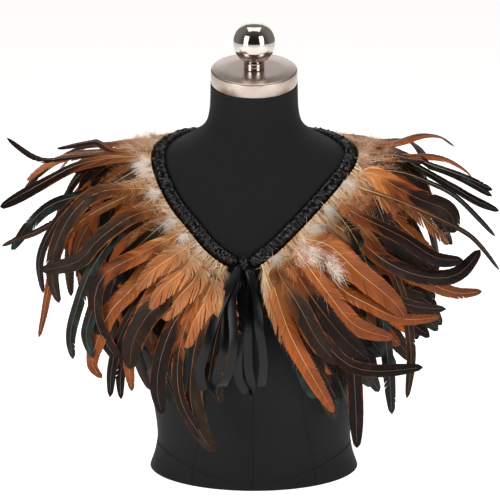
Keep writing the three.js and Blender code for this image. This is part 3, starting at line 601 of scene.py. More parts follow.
def makeBand():
    # a closed skin of satin round the ribbon, with gathers on its upper side
    share = np.linspace(0.0002, 0.9998, band["rings"])[:, None]
    taper, top = bandHeight(share)
    over = np.linspace(0, math.pi, band["over"])
    under = np.linspace(math.pi, 2 * math.pi, band["under"] + 2)[1:-1]
    turn = np.r_[over, under][None, :]
    fold = 0
    for count, start, lean, depth in band["waves"]:
        phase = 2 * math.pi * count * share + start + lean * np.cos(turn)
        phase = phase + 1.3 * np.sin(phase * 0.37) + 0.6 * np.sin(turn * 2 + share * 60)
        fold = fold + depth * (1 - 1.6 * np.abs(np.sin(phase / 2)) ** 0.7)
    onTop = np.clip(np.sin(turn) * 3, 0, 1)  # the gathers stop on the underside
    fold = fold * (0.5 + 0.5 * np.sin(2 * math.pi * 9 * share + 1) ** 2) * onTop
    out = (band["half"] * taper + 0.35 * fold) * np.cos(turn)
    high = band["bottom"] + (top - band["bottom"] + 0.9 * fold) * np.clip(np.sin(turn), 0, 1) ** 0.7
    frames = [np.broadcast_to(part, (band["rings"], turn.shape[1], 3)) for part in neckFrame(share)]
    outer = besideNeck(frames, out, np.maximum(high, band["bottom"]))
    middle = outer.mean(axis=1, keepdims=True)
    inner = outer + unit(middle - outer) * band["wall"]
    around = np.broadcast_to(turn * band["clothRound"], (band["rings"], turn.shape[1]))
    cloth = np.stack([around, np.broadcast_to(share * band["clothLong"], around.shape)], -1)
    # the satin's outside, then its inside, joined at both ends
    rings = np.concatenate([outer, inner[::-1]])
    sides = rings.shape[1]
    points, quads, _ = tubeRings(np.concatenate([rings, rings[:1]]))
    quads = quads % (len(rings) * sides)
    heap = newHeap()
    addToHeap(heap, points[:len(rings) * sides], quads, [], 0,
              vane=np.concatenate([cloth, cloth[::-1]]).reshape(-1, 2))
    return heap


def clothPiece(name, heap, material):
    piece = pieceFromHeap(name, heap, [material])
    piece.data.uv_layers["vane"].name = "cloth"
    piece.data.uv_layers.remove(piece.data.uv_layers["barbs"])
    faceOutward(piece)
    return piece


neckband = settle(clothPiece("gathered_neckband", makeBand(), "bandSatin"),
                  ["neckband_left", "neckband_right"], 60)


# header tapes: the feathers' quills are sewn through them
stack = {
    "under": {"count": 46, "length": 225, "curl": 0.9, "droop": 1.5, "seed": 11,
              "tapeEnd": 21, "tapeLow": 0.9, "layer": 0, "first": 4.2, "layersBy": 0.3},
    "middle": {"count": 48, "length": 200, "curl": 1.0, "droop": 1.1, "seed": 23,
               "tapeEnd": 17, "tapeLow": 3.1, "layer": 4, "first": 5.8, "layersBy": 0.4},
    "top": {"count": 50, "length": 168, "curl": 1.0, "droop": 0.8, "seed": 37,
            "tapeEnd": 13, "tapeLow": 5.5, "layer": 8, "first": 7.6, "layersBy": 0.55}}
# the part of the neckline that each piece of a row takes
sectors = {"front_left": (0.012, 0.27), "back_left": (0.27, 0.5), "back_right": (0.5, 0.735),
           "front_right": (0.735, 0.988)}
tape = {"start": 9.3, "thick": 1.8, "rings": 200}
tapes = newHeap()
for row in stack.values():
    share = np.linspace(0.013, 0.987, tape["rings"])[:, None]
    wide = np.array([tape["start"], row["tapeEnd"], row["tapeEnd"], tape["start"]])[None, :]
    high = row["tapeLow"] + tape["thick"] * np.array([0, 0, 1, 1])[None, :] + 0 * share
    frames = [np.broadcast_to(part, (tape["rings"], 4, 3)) for part in neckFrame(share)]
    points, quads, tris = tubeRings(besideNeck(frames, wide + 0 * share, high))
    cloth = np.stack([wide + 0 * share, share * necklineLength + 0 * wide], -1).reshape(-1, 2)
    addToHeap(tapes, points, quads, tris, 0, vane=cloth)
tapePiece = settle(clothPiece("header_tapes", tapes, "tape"), [], 30)
print("neckband and tapes made")


# feathers: how they lie at each place round the neck
lean = np.array([  # at, yaw, length, lift, curl, droop, cup
    [0, 40, 0.84, -7, 0.06, 0.003, 0.32], [0.02, 22, 0.86, -6, 0.12, 0.003, 0.3],
    [0.05, -8, 0.93, -3, 0.26, 0.003, 0.25], [0.1, -26, 0.95, 2, 0.38, 0.003, 0.15],
    [0.2, -30, 1, 0, 0.36, 0.003, 0.1], [0.26, -24, 1.04, -9, 0.26, 0.0034, 0.08],
    [0.33, -16, 0.98, -12, 0.2, 0.0066, 0.08], [0.4, -12, 0.95, -12, 0.2, 0.008, 0.08],
    [0.5, -10, 0.95, -12, 0.16, 0.008, 0.08], [0.6, -8, 0.95, -12, 0.2, 0.008, 0.08],
    [0.67, -8, 0.98, -12, 0.24, 0.0066, 0.08], [0.74, -10, 1, -11, 0.26, 0.004, 0.08],
    [0.8, -6, 0.98, 1, 0.28, 0.003, 0.08], [0.9, -8, 0.92, 2, 0.22, 0.003, 0.12],
    [0.96, -12, 0.95, -3, 0.14, 0.003, 0.22], [1, -14, 0.98, -5, 0.08, 0.003, 0.3]], float)
lay = {"width": 19, "sink": 4.5, "lift": 1.5, "liftBy": 1, "firstBy": 0.15, "clearBy": 1.6, "steps": 16}
towardFront = np.array([0, -0.96, 0.26])


def clearAt(row, layer, u):
    # how far over the form a feather of this layer stays, at share u of its length
    quill = row["tapeLow"] + tape["thick"] / 2
    return (quill + (row["first"] - quill) * min(1, u / lay["firstBy"])
            + lay["clearBy"] * layer * min(1, u / row["layersBy"]))


def settleFace(face, way, p):
    normal, distance = formSurface(p)
    face = face + normal * np.where(distance < 40, 0.15, 0)[..., None]
    return unit(face - way * (face * way).sum(-1, keepdims=True))


def layFeathers(plan, row, toViewer):
    # plan: arrays of share, layer, length, yaw, lift, curl, droop and cup. Gives points, sides and faces
    frames = neckFrame(plan["share"])
    quill = row["tapeLow"] + tape["thick"] / 2
    count = len(plan["share"])
    p = besideNeck(frames, np.full(count, row["tapeEnd"] - lay["sink"]), np.full(count, quill))
    lift = (lay["lift"] + lay["liftBy"] * plan["layer"] + plan["lift"]) * deg
    face = frames[1].copy()
    way = turned(frames[2], face, plan["yaw"] * deg)
    way = way * np.cos(lift)[:, None] + face * np.sin(lift)[:, None]
    face = unit(face - way * (face * way).sum(-1, keepdims=True))
    step = plan["length"] / lay["steps"]
    stations = []
    for i in range(lay["steps"] + 1):
        stations.append((p.copy(), unit(np.cross(way, face)), face.copy()))
        way = turned(way, face, plan["curl"] * deg * step)
        way = unit(way - face * (plan["cup"] * deg * step)[:, None]
                   - np.array([0, 0, 1]) * (plan["droop"] * step)[:, None])
        before = p.copy()
        p = setAbove(p + way * step[:, None], clearAt(row, plan["layer"], (i + 1) / lay["steps"]), True)
        way = unit(p - before)
        face = settleFace(face, way, p)
    points, sides, faces = (np.stack([station[k] for station in stations], 1) for k in range(3))
    # toward its tip a feather on the front turns its face to the front
    frontShare = np.clip((np.abs(plan["share"] - 0.5) - 0.2) / 0.06, 0, 1) * np.where(plan["main"], 0.3, 1)
    turn = toViewer * frontShare[:, None] * np.linspace(0, 1, lay["steps"] + 1)[None, :]
    faces = faces + turn[..., None] * towardFront
    way = unit(np.gradient(points, axis=1))
    faces = unit(faces - way * (faces * way).sum(-1, keepdims=True))
    return [points, unit(np.cross(way, faces)), faces]


def layThrough(share, via, row, layer, toViewer):
    # a single feather through points of its own, its face drawn toward the front by toViewer
    frames = neckFrame(np.array([share]))
    quill = row["tapeLow"] + tape["thick"] / 2
    starts = [besideNeck(frames, [row["tapeEnd"] + d], [quill])[0] for d in (-lay["sink"], lay["sink"])]
    even = np.linspace(0, 1, 60)
    line = curveThrough(starts + [np.array(point, float) for point in via], even)
    run = np.r_[0, np.cumsum(np.linalg.norm(np.diff(line, axis=0), axis=1))]
    share = np.linspace(0, 1, lay["steps"] + 1)
    line = np.stack([np.interp(share * run[-1], run, line[:, k]) for k in range(3)], 1)
    line = np.array([setAbove(p[None], clearAt(row, layer, u), True)[0] for p, u in zip(line, share)])
    way = unit(np.gradient(line, axis=0))
    face, faces = frames[1][0], []
    for p, w in zip(line, way):
        face = settleFace((face + toViewer * towardFront)[None], w[None], p[None])[0]
        faces.append(face)
    faces = np.array(faces)
    return run[-1], [line, unit(np.cross(way, faces)), faces]


def readAt(values, u):
    return curveThrough(values, np.clip(u, 0, 1))


# how the barbs of each kind hang together: mm of quill to a clump, forward sweep, gaps, ragged ends
build = {
    "ginger": {"clump": 5.5, "sweep": 1.7, "gap": 0.26, "splits": 0.25, "ragged": 0.24, "camber": 0.2,
               "tipFrom": 0.42, "wide": 1.2},
    "rust": {"clump": 7.5, "sweep": 1.5, "gap": 0.06, "splits": 0.06, "ragged": 0.07, "camber": 0.2,
             "tipFrom": 0.62, "wide": 1.12},
    "edged": {"clump": 9, "sweep": 1.6, "gap": 0.03, "splits": 0.03, "ragged": 0.02, "camber": 0.16,
              "tipFrom": 0.78, "wide": 1.1},
    "halved": {"clump": 8.5, "sweep": 1.6, "gap": 0.03, "splits": 0.04, "ragged": 0.03, "camber": 0.16,
               "tipFrom": 0.75, "wide": 1.15},
    "olive": {"clump": 9, "sweep": 1.6, "gap": 0.03, "splits": 0.05, "ragged": 0.03, "camber": 0.16,
              "tipFrom": 0.76, "wide": 1.1},
    "greenBlack": {"clump": 8.5, "sweep": 1.7, "gap": 0.03, "splits": 0.05, "ragged": 0.03, "camber": 0.14,
                   "tipFrom": 0.8, "wide": 1.05},
}
# a clump's four lines: how far out on its barbs, and how much it has narrowed there
levels = np.array([0, 0.42, 0.8, 1.0])
narrowing = np.array([0, 0.25, 0.7, 1])


def halfAt(u, width, tipFrom):
    # half the width of a vane at share u of its length
    swell = np.clip(u / 0.24, 0, 1) ** 0.6
    tip = np.sqrt(np.clip(1 - np.clip((u - tipFrom) / (1 - tipFrom), 0, 1) ** 2.2, 0, 1))
    return 0.7 + (width / 2 - 0.7) * swell * tip * (1 - 0.06 * u)


def addFeather(heap, line, length, width, kind, tone, luck, twist=0.0, quillSize=1.0):
    # clumps of barbs on both sides of a quill, each clump a closed ridge
    points, sides, faces = line
    share = np.linspace(0, 1, len(points))
    bend = twist * share ** 1.4 * deg
    way = np.cross(faces, sides)
    sides, faces = turned(sides, way, bend), turned(faces, way, bend)
    make = build[kind]
    edgeBy = np.array([-0.05, -0.05, -0.04, 0.2 * make["gap"]])  # clumps overlap a little near the quill
    width = width * make["wide"]
    count = max(7, round(length / make["clump"]))
    grow = 0.045 + 0.955 * np.linspace(0, 1, count + 1) ** 0.94
    uneven = 1 + 0.14 * (luck.random() - 0.5)
    for sign in (-1, 1):
        half = width * (uneven if sign > 0 else 2 - uneven)
        sweep = make["sweep"] * width / 2 / length
        edge = grow + sweep * (1 - grow ** 5)
        split = luck.random(count) < make["splits"]
        whole = np.clip((count - 1 - np.arange(count)) / 3, 0, 1)  # the tip's barbs hold together
        gap = (make["gap"] * luck.random(count) + 0.5 * split) * whole
        frayed = 1 + make["ragged"] * (luck.random(count) - 0.6)
        lifted = (luck.random(count) - 0.35) * 0.9 * split * whole
        corner = []
        for end in (0, 1):
            root, far = grow[end:count + end], edge[end:count + end]
            other = edge[1 - end:count + 1 - end]
            narrow = narrowing[:, None] * gap / 2 + edgeBy[:, None]
            reach = root + (far - root) * levels[:, None] ** 1.25
            reach = reach + (other - far) * narrow
            out = levels[:, None] * halfAt(far, half, make["tipFrom"]) * frayed
            drop = -make["camber"] * out * levels[:, None] + lifted * levels[:, None] ** 2
            spot = (readAt(points, reach) + readAt(sides, reach) * (sign * out)[..., None]
                    + readAt(faces, reach) * drop[..., None])
            root = np.broadcast_to(root, out.shape)
            corner.append((spot, out, root, readAt(faces, reach)))
        (low, lowOut, lowRoot, lowFace), (high, highOut, highRoot, _) = corner
        ridge = (low + high) / 2 + lowFace * 0.28
        spot = np.stack([low, ridge, high], 2)  # level, clump, low ridge high
        out = np.stack([lowOut, (lowOut + highOut) / 2, highOut], 2)
        root = np.stack([lowRoot, (lowRoot + highRoot) / 2, highRoot], 2)
        index = np.arange(spot.shape[0] * count * 3).reshape(spot.shape[:3])
        a, b = index[:-1], index[1:]
        quads = np.concatenate([
            np.stack([a[..., 0], b[..., 0], b[..., 1], a[..., 1]], -1).reshape(-1, 4),
            np.stack([a[..., 1], b[..., 1], b[..., 2], a[..., 2]], -1).reshape(-1, 4),
            np.stack([a[..., 0], a[..., 2], b[..., 2], b[..., 0]], -1).reshape(-1, 4)])
        tris = np.concatenate([index[0][:, [0, 1, 2]], index[-1][:, [0, 2, 1]]])
        if sign < 0:
            quads, tris = quads[:, ::-1], tris[:, ::-1]
        vane = np.stack([0.5 + sign * out / half, root], -1).reshape(-1, 2)
        barbs = np.stack([root * length, sign * out], -1).reshape(-1, 2)
        addToHeap(heap, spot.reshape(-1, 3), quads, tris, featherKinds.index(kind), vane, barbs, tone)
    # the quill lies on top of the vane
    u = np.linspace(0, 0.97, 17)
    thick = quillSize * np.interp(u, [0, 0.3, 1], [0.8, 0.46, 0.22])[:, None]
    middle = readAt(points, u) + readAt(faces, u) * (0.3 + 0.2 * thick)
    across, over = readAt(sides, u), readAt(faces, u)
    ring = [(0, 1), (1, 0), (0, -1), (-1, 0)]
    rings = np.stack([middle + across * thick * x + over * thick * y for x, y in ring[::-1]], 1)
    spots, quads, tris = tubeRings(rings)
    vane = np.stack([np.full(len(spots), 0.5), np.repeat(u, 4)], -1)
    quillPaint = len(featherKinds) + (0 if kind in ("ginger", "rust") else 1)
    addToHeap(heap, spots, quads, tris, quillPaint, vane, np.zeros((len(spots), 2)), tone)


def addHairs(heap, roots, ways, lengths, tones, radius, luck, joints=2):
    # loose barbs: tapering three-sided strands of one or two joints, straight with one
    count = len(roots)
    bend = unit(luck.normal(size=(count, 3))) * 0.5 + np.array([0, 0, -0.09])
    way, spot, rings = unit(ways), roots, []
    for k in range(joints):
        side = unit(np.cross(way, np.array([0.31, 0.52, 0.79])))
        over = np.cross(way, side)
        thick = radius * (1 - 0.2 * k)
        rings.append(np.stack([spot + (side * math.cos(a) + over * math.sin(a)) * thick
                               for a in (0, 2.1, 4.2)], 1))
        spot = spot + way * (lengths / joints)[:, None]
        way = unit(way + bend)
    points = np.concatenate([np.stack(rings, 1).reshape(count, 3 * joints, 3), spot[:, None]], 1)
    base = np.arange(count)[:, None] * (3 * joints + 1)
    last = 3 * joints - 3
    quads = [[k, (k + 1) % 3, 3 + (k + 1) % 3, 3 + k] for k in range(3)] * (joints - 1)
    tris = [[last, last + 1, last + 3], [last + 1, last + 2, last + 3], [last + 2, last, last + 3], [0, 2, 1]]
    addToHeap(heap, points.reshape(-1, 3),
              (base[:, :, None] + np.array(quads, int).reshape(1, -1, 4)).reshape(-1, 4),
              (base[:, :, None] + np.array(tris)[None]).reshape(-1, 3), featherSlots.index("down"),
              tone=np.repeat(tones, 3 * joints + 1))


downy = {"reach": 0.3, "size": 16, "rise": 0.35, "radius": 0.2}


def addDown(heap, line, amount, tone, luck, reach=downy["reach"]):
    # the soft after-feather at the foot of a quill
    points, sides, faces = line
    u = 0.01 + reach * luck.random(amount) ** 0.9
    sign = np.where(luck.random(amount) < 0.5, -1, 1)[:, None]
    way = np.cross(faces, sides)
    ways = (readAt(sides, u) * sign * (0.5 + luck.random((amount, 1)))
            + readAt(way, u) * (0.35 + 0.7 * luck.random((amount, 1)))
            + readAt(faces, u) * (downy["rise"] * (luck.random((amount, 1)) * 1.6 - 0.2)))
    lengths = downy["size"] * (0.5 + 0.8 * luck.random(amount)) * (0.75 + u)
    tones = np.clip(tone + 1.1 * u / reach * 0.5 + 0.3 * (luck.random(amount) - 0.5), 0, 1)
    addHairs(heap, readAt(points, u), ways, lengths, tones, downy["radius"], luck)


# hairs along the edges of the loose kinds: how many, and up to where on the quill
fuzz = {"ginger": (90, 0.95), "rust": (36, 0.6), "halved": (26, 0.38), "edged": (22, 0.34),
        "olive": (20, 0.34)}


def addFuzz(heap, line, width, kind, luck):
    # loose barbs that stand out of a vane near its edge
    points, sides, faces = line
    amount, reach = fuzz[kind]
    u = 0.03 + (reach - 0.03) * luck.random(amount)
    sign = np.where(luck.random(amount) < 0.5, -1, 1)[:, None]
    out = halfAt(u, width * build[kind]["wide"], build[kind]["tipFrom"]) * (0.45 + 0.5 * luck.random(amount))
    roots = readAt(points, u) + readAt(sides, u) * sign * out[:, None] + readAt(faces, u) * 0.2
    ways = (readAt(sides, u) * sign * (0.4 + 0.5 * luck.random((amount, 1)))
            + readAt(np.cross(faces, sides), u) * (0.7 + 0.4 * luck.random((amount, 1)))
            + readAt(faces, u) * (0.3 * luck.random((amount, 1))))
    tones = np.clip(0.62 + 0.45 * u + 0.22 * luck.normal(size=amount), 0, 1)
    addHairs(heap, roots, ways, 5 + 6 * luck.random(amount), tones, 0.16, luck, 1)


# what grows in each row: the kinds and their shares, the feathers between the main ones, and the down
mixes = {
    "under": {"kinds": {"greenBlack": 0.5, "edged": 0.3, "olive": 0.2}, "between": 3, "down": 4,
              "wide": (0.95, 1.35)},
    "middle": {"kinds": {"edged": 0.36, "halved": 0.18, "olive": 0.16, "greenBlack": 0.14, "rust": 0.16},
               "between": 2, "down": 6, "wide": (0.95, 1.35)},
    "top": {"kinds": {"ginger": 0.1, "edged": 0.36, "halved": 0.28, "rust": 0.08, "olive": 0.18},
            "between": 2, "down": 14, "wide": (0.95, 1.4)},
    "cover": {"kinds": {"ginger": 0.74, "rust": 0.18, "halved": 0.08}, "between": 0, "down": 30,
              "wide": (1.05, 1.5), "count": 96, "size": 0.68, "liftBy": -3.5,
              "row": {"layersBy": 1.0, "tapeEnd": 15.5}},
}
# the top row's light places are ginger and rust, elsewhere it is mostly dark
topFront = {"ginger": 0.36, "edged": 0.18, "halved": 0.16, "rust": 0.24, "olive": 0.06}
# how far the feathers between the main ones go astray, and what the main ones do over the shoulders
astray = {"yaw": (-9, 9), "yawLeft": (4, 26), "yawShoulder": (4, 16),
          "lift": (-1.5, 2.5), "liftBack": (-3, 0), "liftShoulder": (-26, -16),
          "curl": (-0.15, 0.5), "curlLeft": (0.3, 1.2), "curlRight": (1.2, 2.4),
          "droop": (-0.3, 0.3), "droopShoulder": (3, 6), "cup": (-0.5, 0.5)}
mainShoulder = {"lift": -9, "droop": 2.4}
# where round the neck a habit holds: the middle of the place, how far it fades, how full it is there
habits = {"leftFront": (0.13, 0.13, 1.3), "rightTop": (0.71, 0.1, 1.4), "shoulder": (0.2, 0.09, 1.5)}
heaps = {(rowName, sector): newHeap() for rowName in stack for sector in sectors}
luck = np.random.default_rng(41)


def sectorOf(share):
    return next((name for name, (low, high) in sectors.items() if low <= share < high), "front_right")


def near(share, habit):
    middle, fade, full = habits[habit]
    return np.clip(full - np.abs(share - middle) / fade, 0, 1)


def planRow(row, mix):
    # where each feather of a row starts and how it lies: arrays for layFeathers
    count = mix.get("count", row["count"])
    spots, main = [], []
    for i in range(count):
        for k in range(mix["between"] + 1):
            spots.append(i + k / (mix["between"] + 1))
            main.append(k == 0)
    spots, main = np.array(spots), np.array(main) & ("count" not in mix)
    share = 0.012 + 0.976 * (spots + 0.5) / count
    keep = share < 0.988
    spots, main, share = spots[keep], main[keep], share[keep]
    yaw, long, lift, curl, droop, cup = np.moveaxis(smoothAt(lean, share), -1, 0)
    wave = np.sin(share * 61 + row["seed"]) + 0.6 * np.sin(share * 143 + 2 * row["seed"])
    whole = np.floor(spots)

    def some(what):
        low, high = astray[what]
        return np.where(main, 0, low + (high - low) * luck.random(len(share)))

    size = mix.get("size", 1)
    leftFront, rightTop = near(share, "leftFront"), near(share, "rightTop")
    shoulder = near(np.abs(share - 0.49), "shoulder")  # both shoulders lie alike beside the nape
    behind = (share > 0.27) & (share < 0.73)
    forward = np.where(share < 0.5, 1, -1)
    return {
        "share": share, "main": main,
        "layer": row["layer"] * np.where(main, 1, 1 - 0.5 * shoulder) + np.where(
            main, whole % 3, (3 if size == 1 else 1.5) * luck.random(len(share)) * (1 - shoulder)),
        "length": row["length"] * long * size * np.where(
            main, 0.86 + 0.22 * chance(whole, row["seed"]),
            (0.7 + 0.34 * luck.random(len(share))) * (1 - 0.2 * shoulder)),
        "width": lay["width"] * np.where(main, 0.85 + 0.15 * chance(whole, row["seed"] + 1),
                                         np.interp(luck.random(len(share)), [0, 1], mix["wide"])),
        "yaw": (yaw + 0.7 * wave + some("yaw") - some("yawLeft") * leftFront * (1 - shoulder)
                + some("yawShoulder") * shoulder * forward),
        "lift": (lift + mix.get("liftBy", 0) + np.where(behind, some("liftBack"), some("lift"))
                 + np.where(main, mainShoulder["lift"], some("liftShoulder")) * shoulder),
        "curl": row["curl"] * curl * (1 + 0.03 * wave + some("curl") + some("curlLeft") * leftFront
                                     - some("curlRight") * rightTop),
        "droop": row["droop"] * droop * (
            1 + some("droop") + np.where(main, mainShoulder["droop"], some("droopShoulder")) * shoulder),
        "cup": cup * (1 + some("cup")),
    }


for mixName, mix in mixes.items():
    rowName = "top" if mixName == "cover" else mixName
    row = {**stack[rowName], **mix.get("row", {})}
    plan = planRow(row, mix)
    lines = layFeathers(plan, row, 0.9)
    for i, share in enumerate(plan["share"]):
        heap = heaps[rowName, sectorOf(share)]
        light = share > 0.86 or share < 0.05 or 0.73 < share < 0.765  # right front, bow, shoulder
        kinds = topFront if mixName == "top" and light else mix["kinds"]
        kind = luck.choice(list(kinds), p=list(kinds.values()))
        if mixName == "cover" and share < 0.1:
            kind = "ginger"
        line = [part[i] for part in lines]
        tone = luck.random()
        twist = 0 if plan["main"][i] else luck.normal() * 16
        addFeather(heap, line, plan["length"][i], plan["width"][i], kind, tone, luck, twist,
                   1.5 if kind == "ginger" and share > 0.75 else 1.0)
        addDown(heap, line, mix["down"], 0.1 + 0.4 * luck.random(), luck)
        if rowName == "top" and kind in fuzz:
            addFuzz(heap, line, plan["width"][i], kind, luck)
    print(f"{mixName} feathers laid: {len(plan['share'])}")

# single feathers that stand out: share of the neckline, width, kind and the points they pass in mm
strays = [
    (0.03, 13, "edged", [(-68, -150, 266), (-88, -153, 205), (-86, -150, 139), (-50, -134, 69)]),
    (0.1, 18, "edged", [(-131, -140, 319), (-179, -145, 289), (-184, -140, 231), (-150, -135, 170)]),
    (0.17, 15, "olive", [(-145, -125, 359), (-183, -130, 331), (-202, -120, 307), (-254, -100, 288)]),
    (0.225, 19, "greenBlack", [(-183, -80, 381), (-239, -75, 363), (-273, -60, 332), (-295, -55, 301)]),
    (0.245, 20, "edged", [(-172, -55, 414), (-213, -60, 406), (-254, -55, 384), (-308, -45, 352)]),
    (0.265, 10, "edged", [(-175, -30, 416), (-218, -30, 411), (-261, -25, 407), (-300, -20, 432)]),
    (0.738, 13, "greenBlack", [(166, -25, 412), (197, -32, 406), (250, -24, 387), (293, -14, 366)]),
    (0.752, 13, "greenBlack", [(177, -30, 407), (239, -30, 375), (270, -25, 356), (301, -20, 341)]),
    (0.775, 28, "edged", [(139, -55, 396), (190, -72, 371), (232, -74, 353), (241, -70, 326)]),
    (0.79, 6, "olive", [(173, -90, 369), (242, -90, 337), (269, -80, 315), (296, -70, 280)]),
    (0.83, 18, "edged", [(135, -130, 321), (186, -132, 292), (236, -125, 288), (265, -120, 318)]),
    (0.86, 17, "rust", [(159, -125, 303), (209, -118, 276), (241, -110, 262), (271, -105, 263)]),
    (0.945, 15, "edged", [(51, -152, 261), (97, -160, 200), (136, -160, 182), (198, -152, 184)]),
    (0.98, 18, "rust", [(39, -154, 232), (66, -162, 180), (94, -156, 129)]),
]
# the same through spots of the view: column, row and depth
seen = [
    (0.255, 14, "edged", [(120, 160, -25), (98, 154, -20), (76, 150, -18), (57, 148, -15)]),
    (0.215, 8, "olive", [(70, 212, -95), (38, 231, -85), (19, 238, -80), (2, 246, -75)]),
    (0.2, 14, "edged",
     [(100, 192, -118), (70, 206, -115), (50, 232, -105), (39, 262, -100), (43, 293, -98)]),
    (0.15, 18, "olive",
     [(130, 217, -140), (97, 241, -150), (82, 259, -152), (61, 267, -150), (41, 270, -148)]),
    (0.19, 10, "rust",
     [(90, 215, -112), (62, 243, -113), (50, 280, -112), (45, 308, -112), (39, 337, -112)]),
    (0.185, 18, "olive",
     [(100, 192, -128), (72, 214, -128), (56, 246, -127), (52, 278, -127), (59, 303, -127)]),
    (0.15, 14, "greenBlack",
     [(120, 232, -138), (92, 268, -140), (78, 304, -140), (70, 337, -140), (73, 359, -140)]),
    (0.13, 15, "greenBlack",
     [(125, 258, -138), (102, 284, -140), (91, 315, -140), (86, 337, -140), (93, 358, -140)]),
    (0.11, 20, "rust",
     [(135, 285, -138), (110, 312, -138), (96, 345, -138), (92, 366, -138), (102, 378, -138)]),
    (0.1, 12, "edged", [(140, 300, -135), (122, 332, -136), (112, 366, -137), (110, 397, -137)]),
    (0.095, 12, "edged", [(145, 305, -133), (130, 340, -134), (121, 372, -135), (121, 399, -135)]),
    (0.085, 16, "rust", [(152, 295, -141), (136, 328, -143), (129, 361, -145), (132, 391, -145)]),
    (0.06, 26, "olive", [(172, 292, -148), (148, 315, -152), (133, 342, -154), (130, 369, -154)]),
    (0.05, 20, "edged",
     [(200, 292, -144), (177, 318, -150), (162, 354, -151), (157, 388, -148), (162, 414, -146)]),
    (0.03, 20, "greenBlack", [(213, 296, -142), (194, 324, -148), (183, 364, -149), (179, 402, -146)]),
    (0.02, 27, "olive",
     [(212, 298, -148), (197, 338, -152), (190, 391, -146), (198, 428, -142), (214, 452, -139)]),
    (0.014, 16, "olive", [(226, 300, -130), (215, 345, -139), (208, 382, -139)]),
    (0.745, 12, "edged", [(400, 158, -30), (438, 168, -28), (468, 181, -24), (492, 196, -20)]),
    (0.76, 7, "greenBlack", [(400, 172, -50), (433, 184, -48), (459, 199, -45), (495, 236, -40)]),
    (0.82, 20, "edged",
     [(352, 212, -124), (378, 225, -130), (406, 239, -132), (436, 258, -132), (463, 260, -128)]),
    (0.87, 13, "olive", [(350, 272, -132), (382, 293, -140), (413, 306, -140), (446, 309, -135)]),
    (0.885, 15, "rust", [(335, 282, -136), (370, 305, -145), (403, 319, -145), (440, 317, -138)]),
    (0.84, 15, "greenBlack", [(355, 238, -122), (376, 290, -135), (387, 352, -137), (392, 414, -137)]),
    (0.83, 11, "olive", [(372, 240, -120), (400, 290, -130), (411, 350, -132), (407, 398, -132)]),
    (0.9, 18, "edged", [(324, 266, -130), (346, 316, -138), (354, 376, -138), (357, 448, -136)]),
    (0.93, 22, "rust", [(305, 262, -142), (330, 296, -152), (356, 326, -154), (393, 338, -148)]),
    (0.965, 23, "olive", [(280, 276, -148), (299, 306, -163), (318, 341, -165), (338, 364, -158)]),
    (0.95, 24, "edged", [(294, 270, -145), (318, 306, -156), (344, 338, -158), (367, 359, -154)]),
    (0.91, 26, "rust", [(330, 246, -142), (358, 272, -150), (392, 300, -150), (406, 318, -146)]),
    (0.025, 26, "ginger", [(208, 292, -146), (197, 310, -150), (189, 330, -152)]),
    (0.045, 28, "ginger", [(194, 280, -150), (177, 299, -154), (164, 320, -156)]),
    (0.06, 26, "ginger", [(182, 271, -150), (163, 288, -156), (150, 309, -157)]),
    (0.075, 24, "ginger", [(172, 257, -144), (151, 272, -148), (137, 290, -148)]),
    (0.035, 26, "ginger", [(205, 300, -150), (193, 323, -154), (186, 348, -155)]),
]
single = {"layer": 11, "seenLayer": 11.5, "toViewer": 0.06, "twist": 8, "down": 20, "downReach": 0.2}
for share, width, kind, via in strays:
    length, line = layThrough(share, via, stack["top"], single["layer"], single["toViewer"])
    heap = heaps["top", sectorOf(share)]
    addFeather(heap, line, length, width, kind, luck.random(), luck)
for share, width, kind, via in seen:
    byBow = share < 0.08 and kind == "ginger"  # the light ones left of the bow
    row = {**stack["top"], "tapeEnd": 18 if byBow else 13}
    points = [seenAt(*spot) for spot in via]
    length, line = layThrough(share, points, row, single["seenLayer"], single["toViewer"])
    heap = heaps["top", sectorOf(share)]
    tone = (0.45 if byBow else 0.1) + 0.4 * luck.random()
    addFeather(heap, line, length, width, kind, tone, luck, luck.normal() * single["twist"],
               1.7 if kind == "ginger" else 1.0)
    addDown(heap, line, single["down"], 0.15, luck, single["downReach"])
    if kind in fuzz:
        addFuzz(heap, line, width, kind, luck)
print("single feathers laid")

# fluff that stands up along the shoulders, and white tufts on the front:
# share of the neckline, mm out from it, how far both of them stray, and how many tufts
tufts = {"shoulder": [(0.27, 28, 0.03, 22, 26), (0.725, 28, 0.03, 22, 26)],
         "front": [(0.215, 14, 0.012, 5, 8), (0.175, 14, 0.008, 5, 5), (0.125, 20, 0.007, 8, 9),
                   (0.085, 14, 0.006, 5, 3), (0.8, 14, 0.01, 5, 5), (0.855, 16, 0.008, 6, 8),
                   (0.89, 18, 0.008, 6, 6), (0.93, 34, 0.012, 13, 20), (0.965, 14, 0.008, 4, 3)]}
tuft = {"strands": 48, "high": 10.5, "fan": 0.5, "scatter": 1.5, "from": 8, "more": 12, "radius": 0.17}
for spotKind, spots in tufts.items():
    white = spotKind == "front"
    outward, upward = (0.9, 0.35) if white else (0.6, 0.6)
    for middle, outBy, shareBy, farBy, amount in spots:
        share = middle + shareBy * (2 * luck.random(amount) - 1)
        frames = neckFrame(share)
        far = outBy + farBy * (2 * luck.random(amount) - 1)
        root = besideNeck(frames, far, np.full(amount, tuft["high"]))
        for i in range(amount):
            strands = tuft["strands"]
            fan = luck.normal(size=(strands, 3)) * tuft["fan"]
            ways = frames[2][i] * outward + frames[1][i] * upward + fan
            start = root[i] + luck.normal(size=(strands, 3)) * tuft["scatter"]
            if white:
                tones = 0.04 + 0.14 * luck.normal(size=strands)
            else:
                tones = 0.25 + 0.75 * luck.random(strands)
            lengths = tuft["from"] + tuft["more"] * luck.random(strands)
            addHairs(heaps["top", sectorOf(share[i])], start, ways, lengths, np.clip(tones, 0, 1),
                     tuft["radius"], luck)

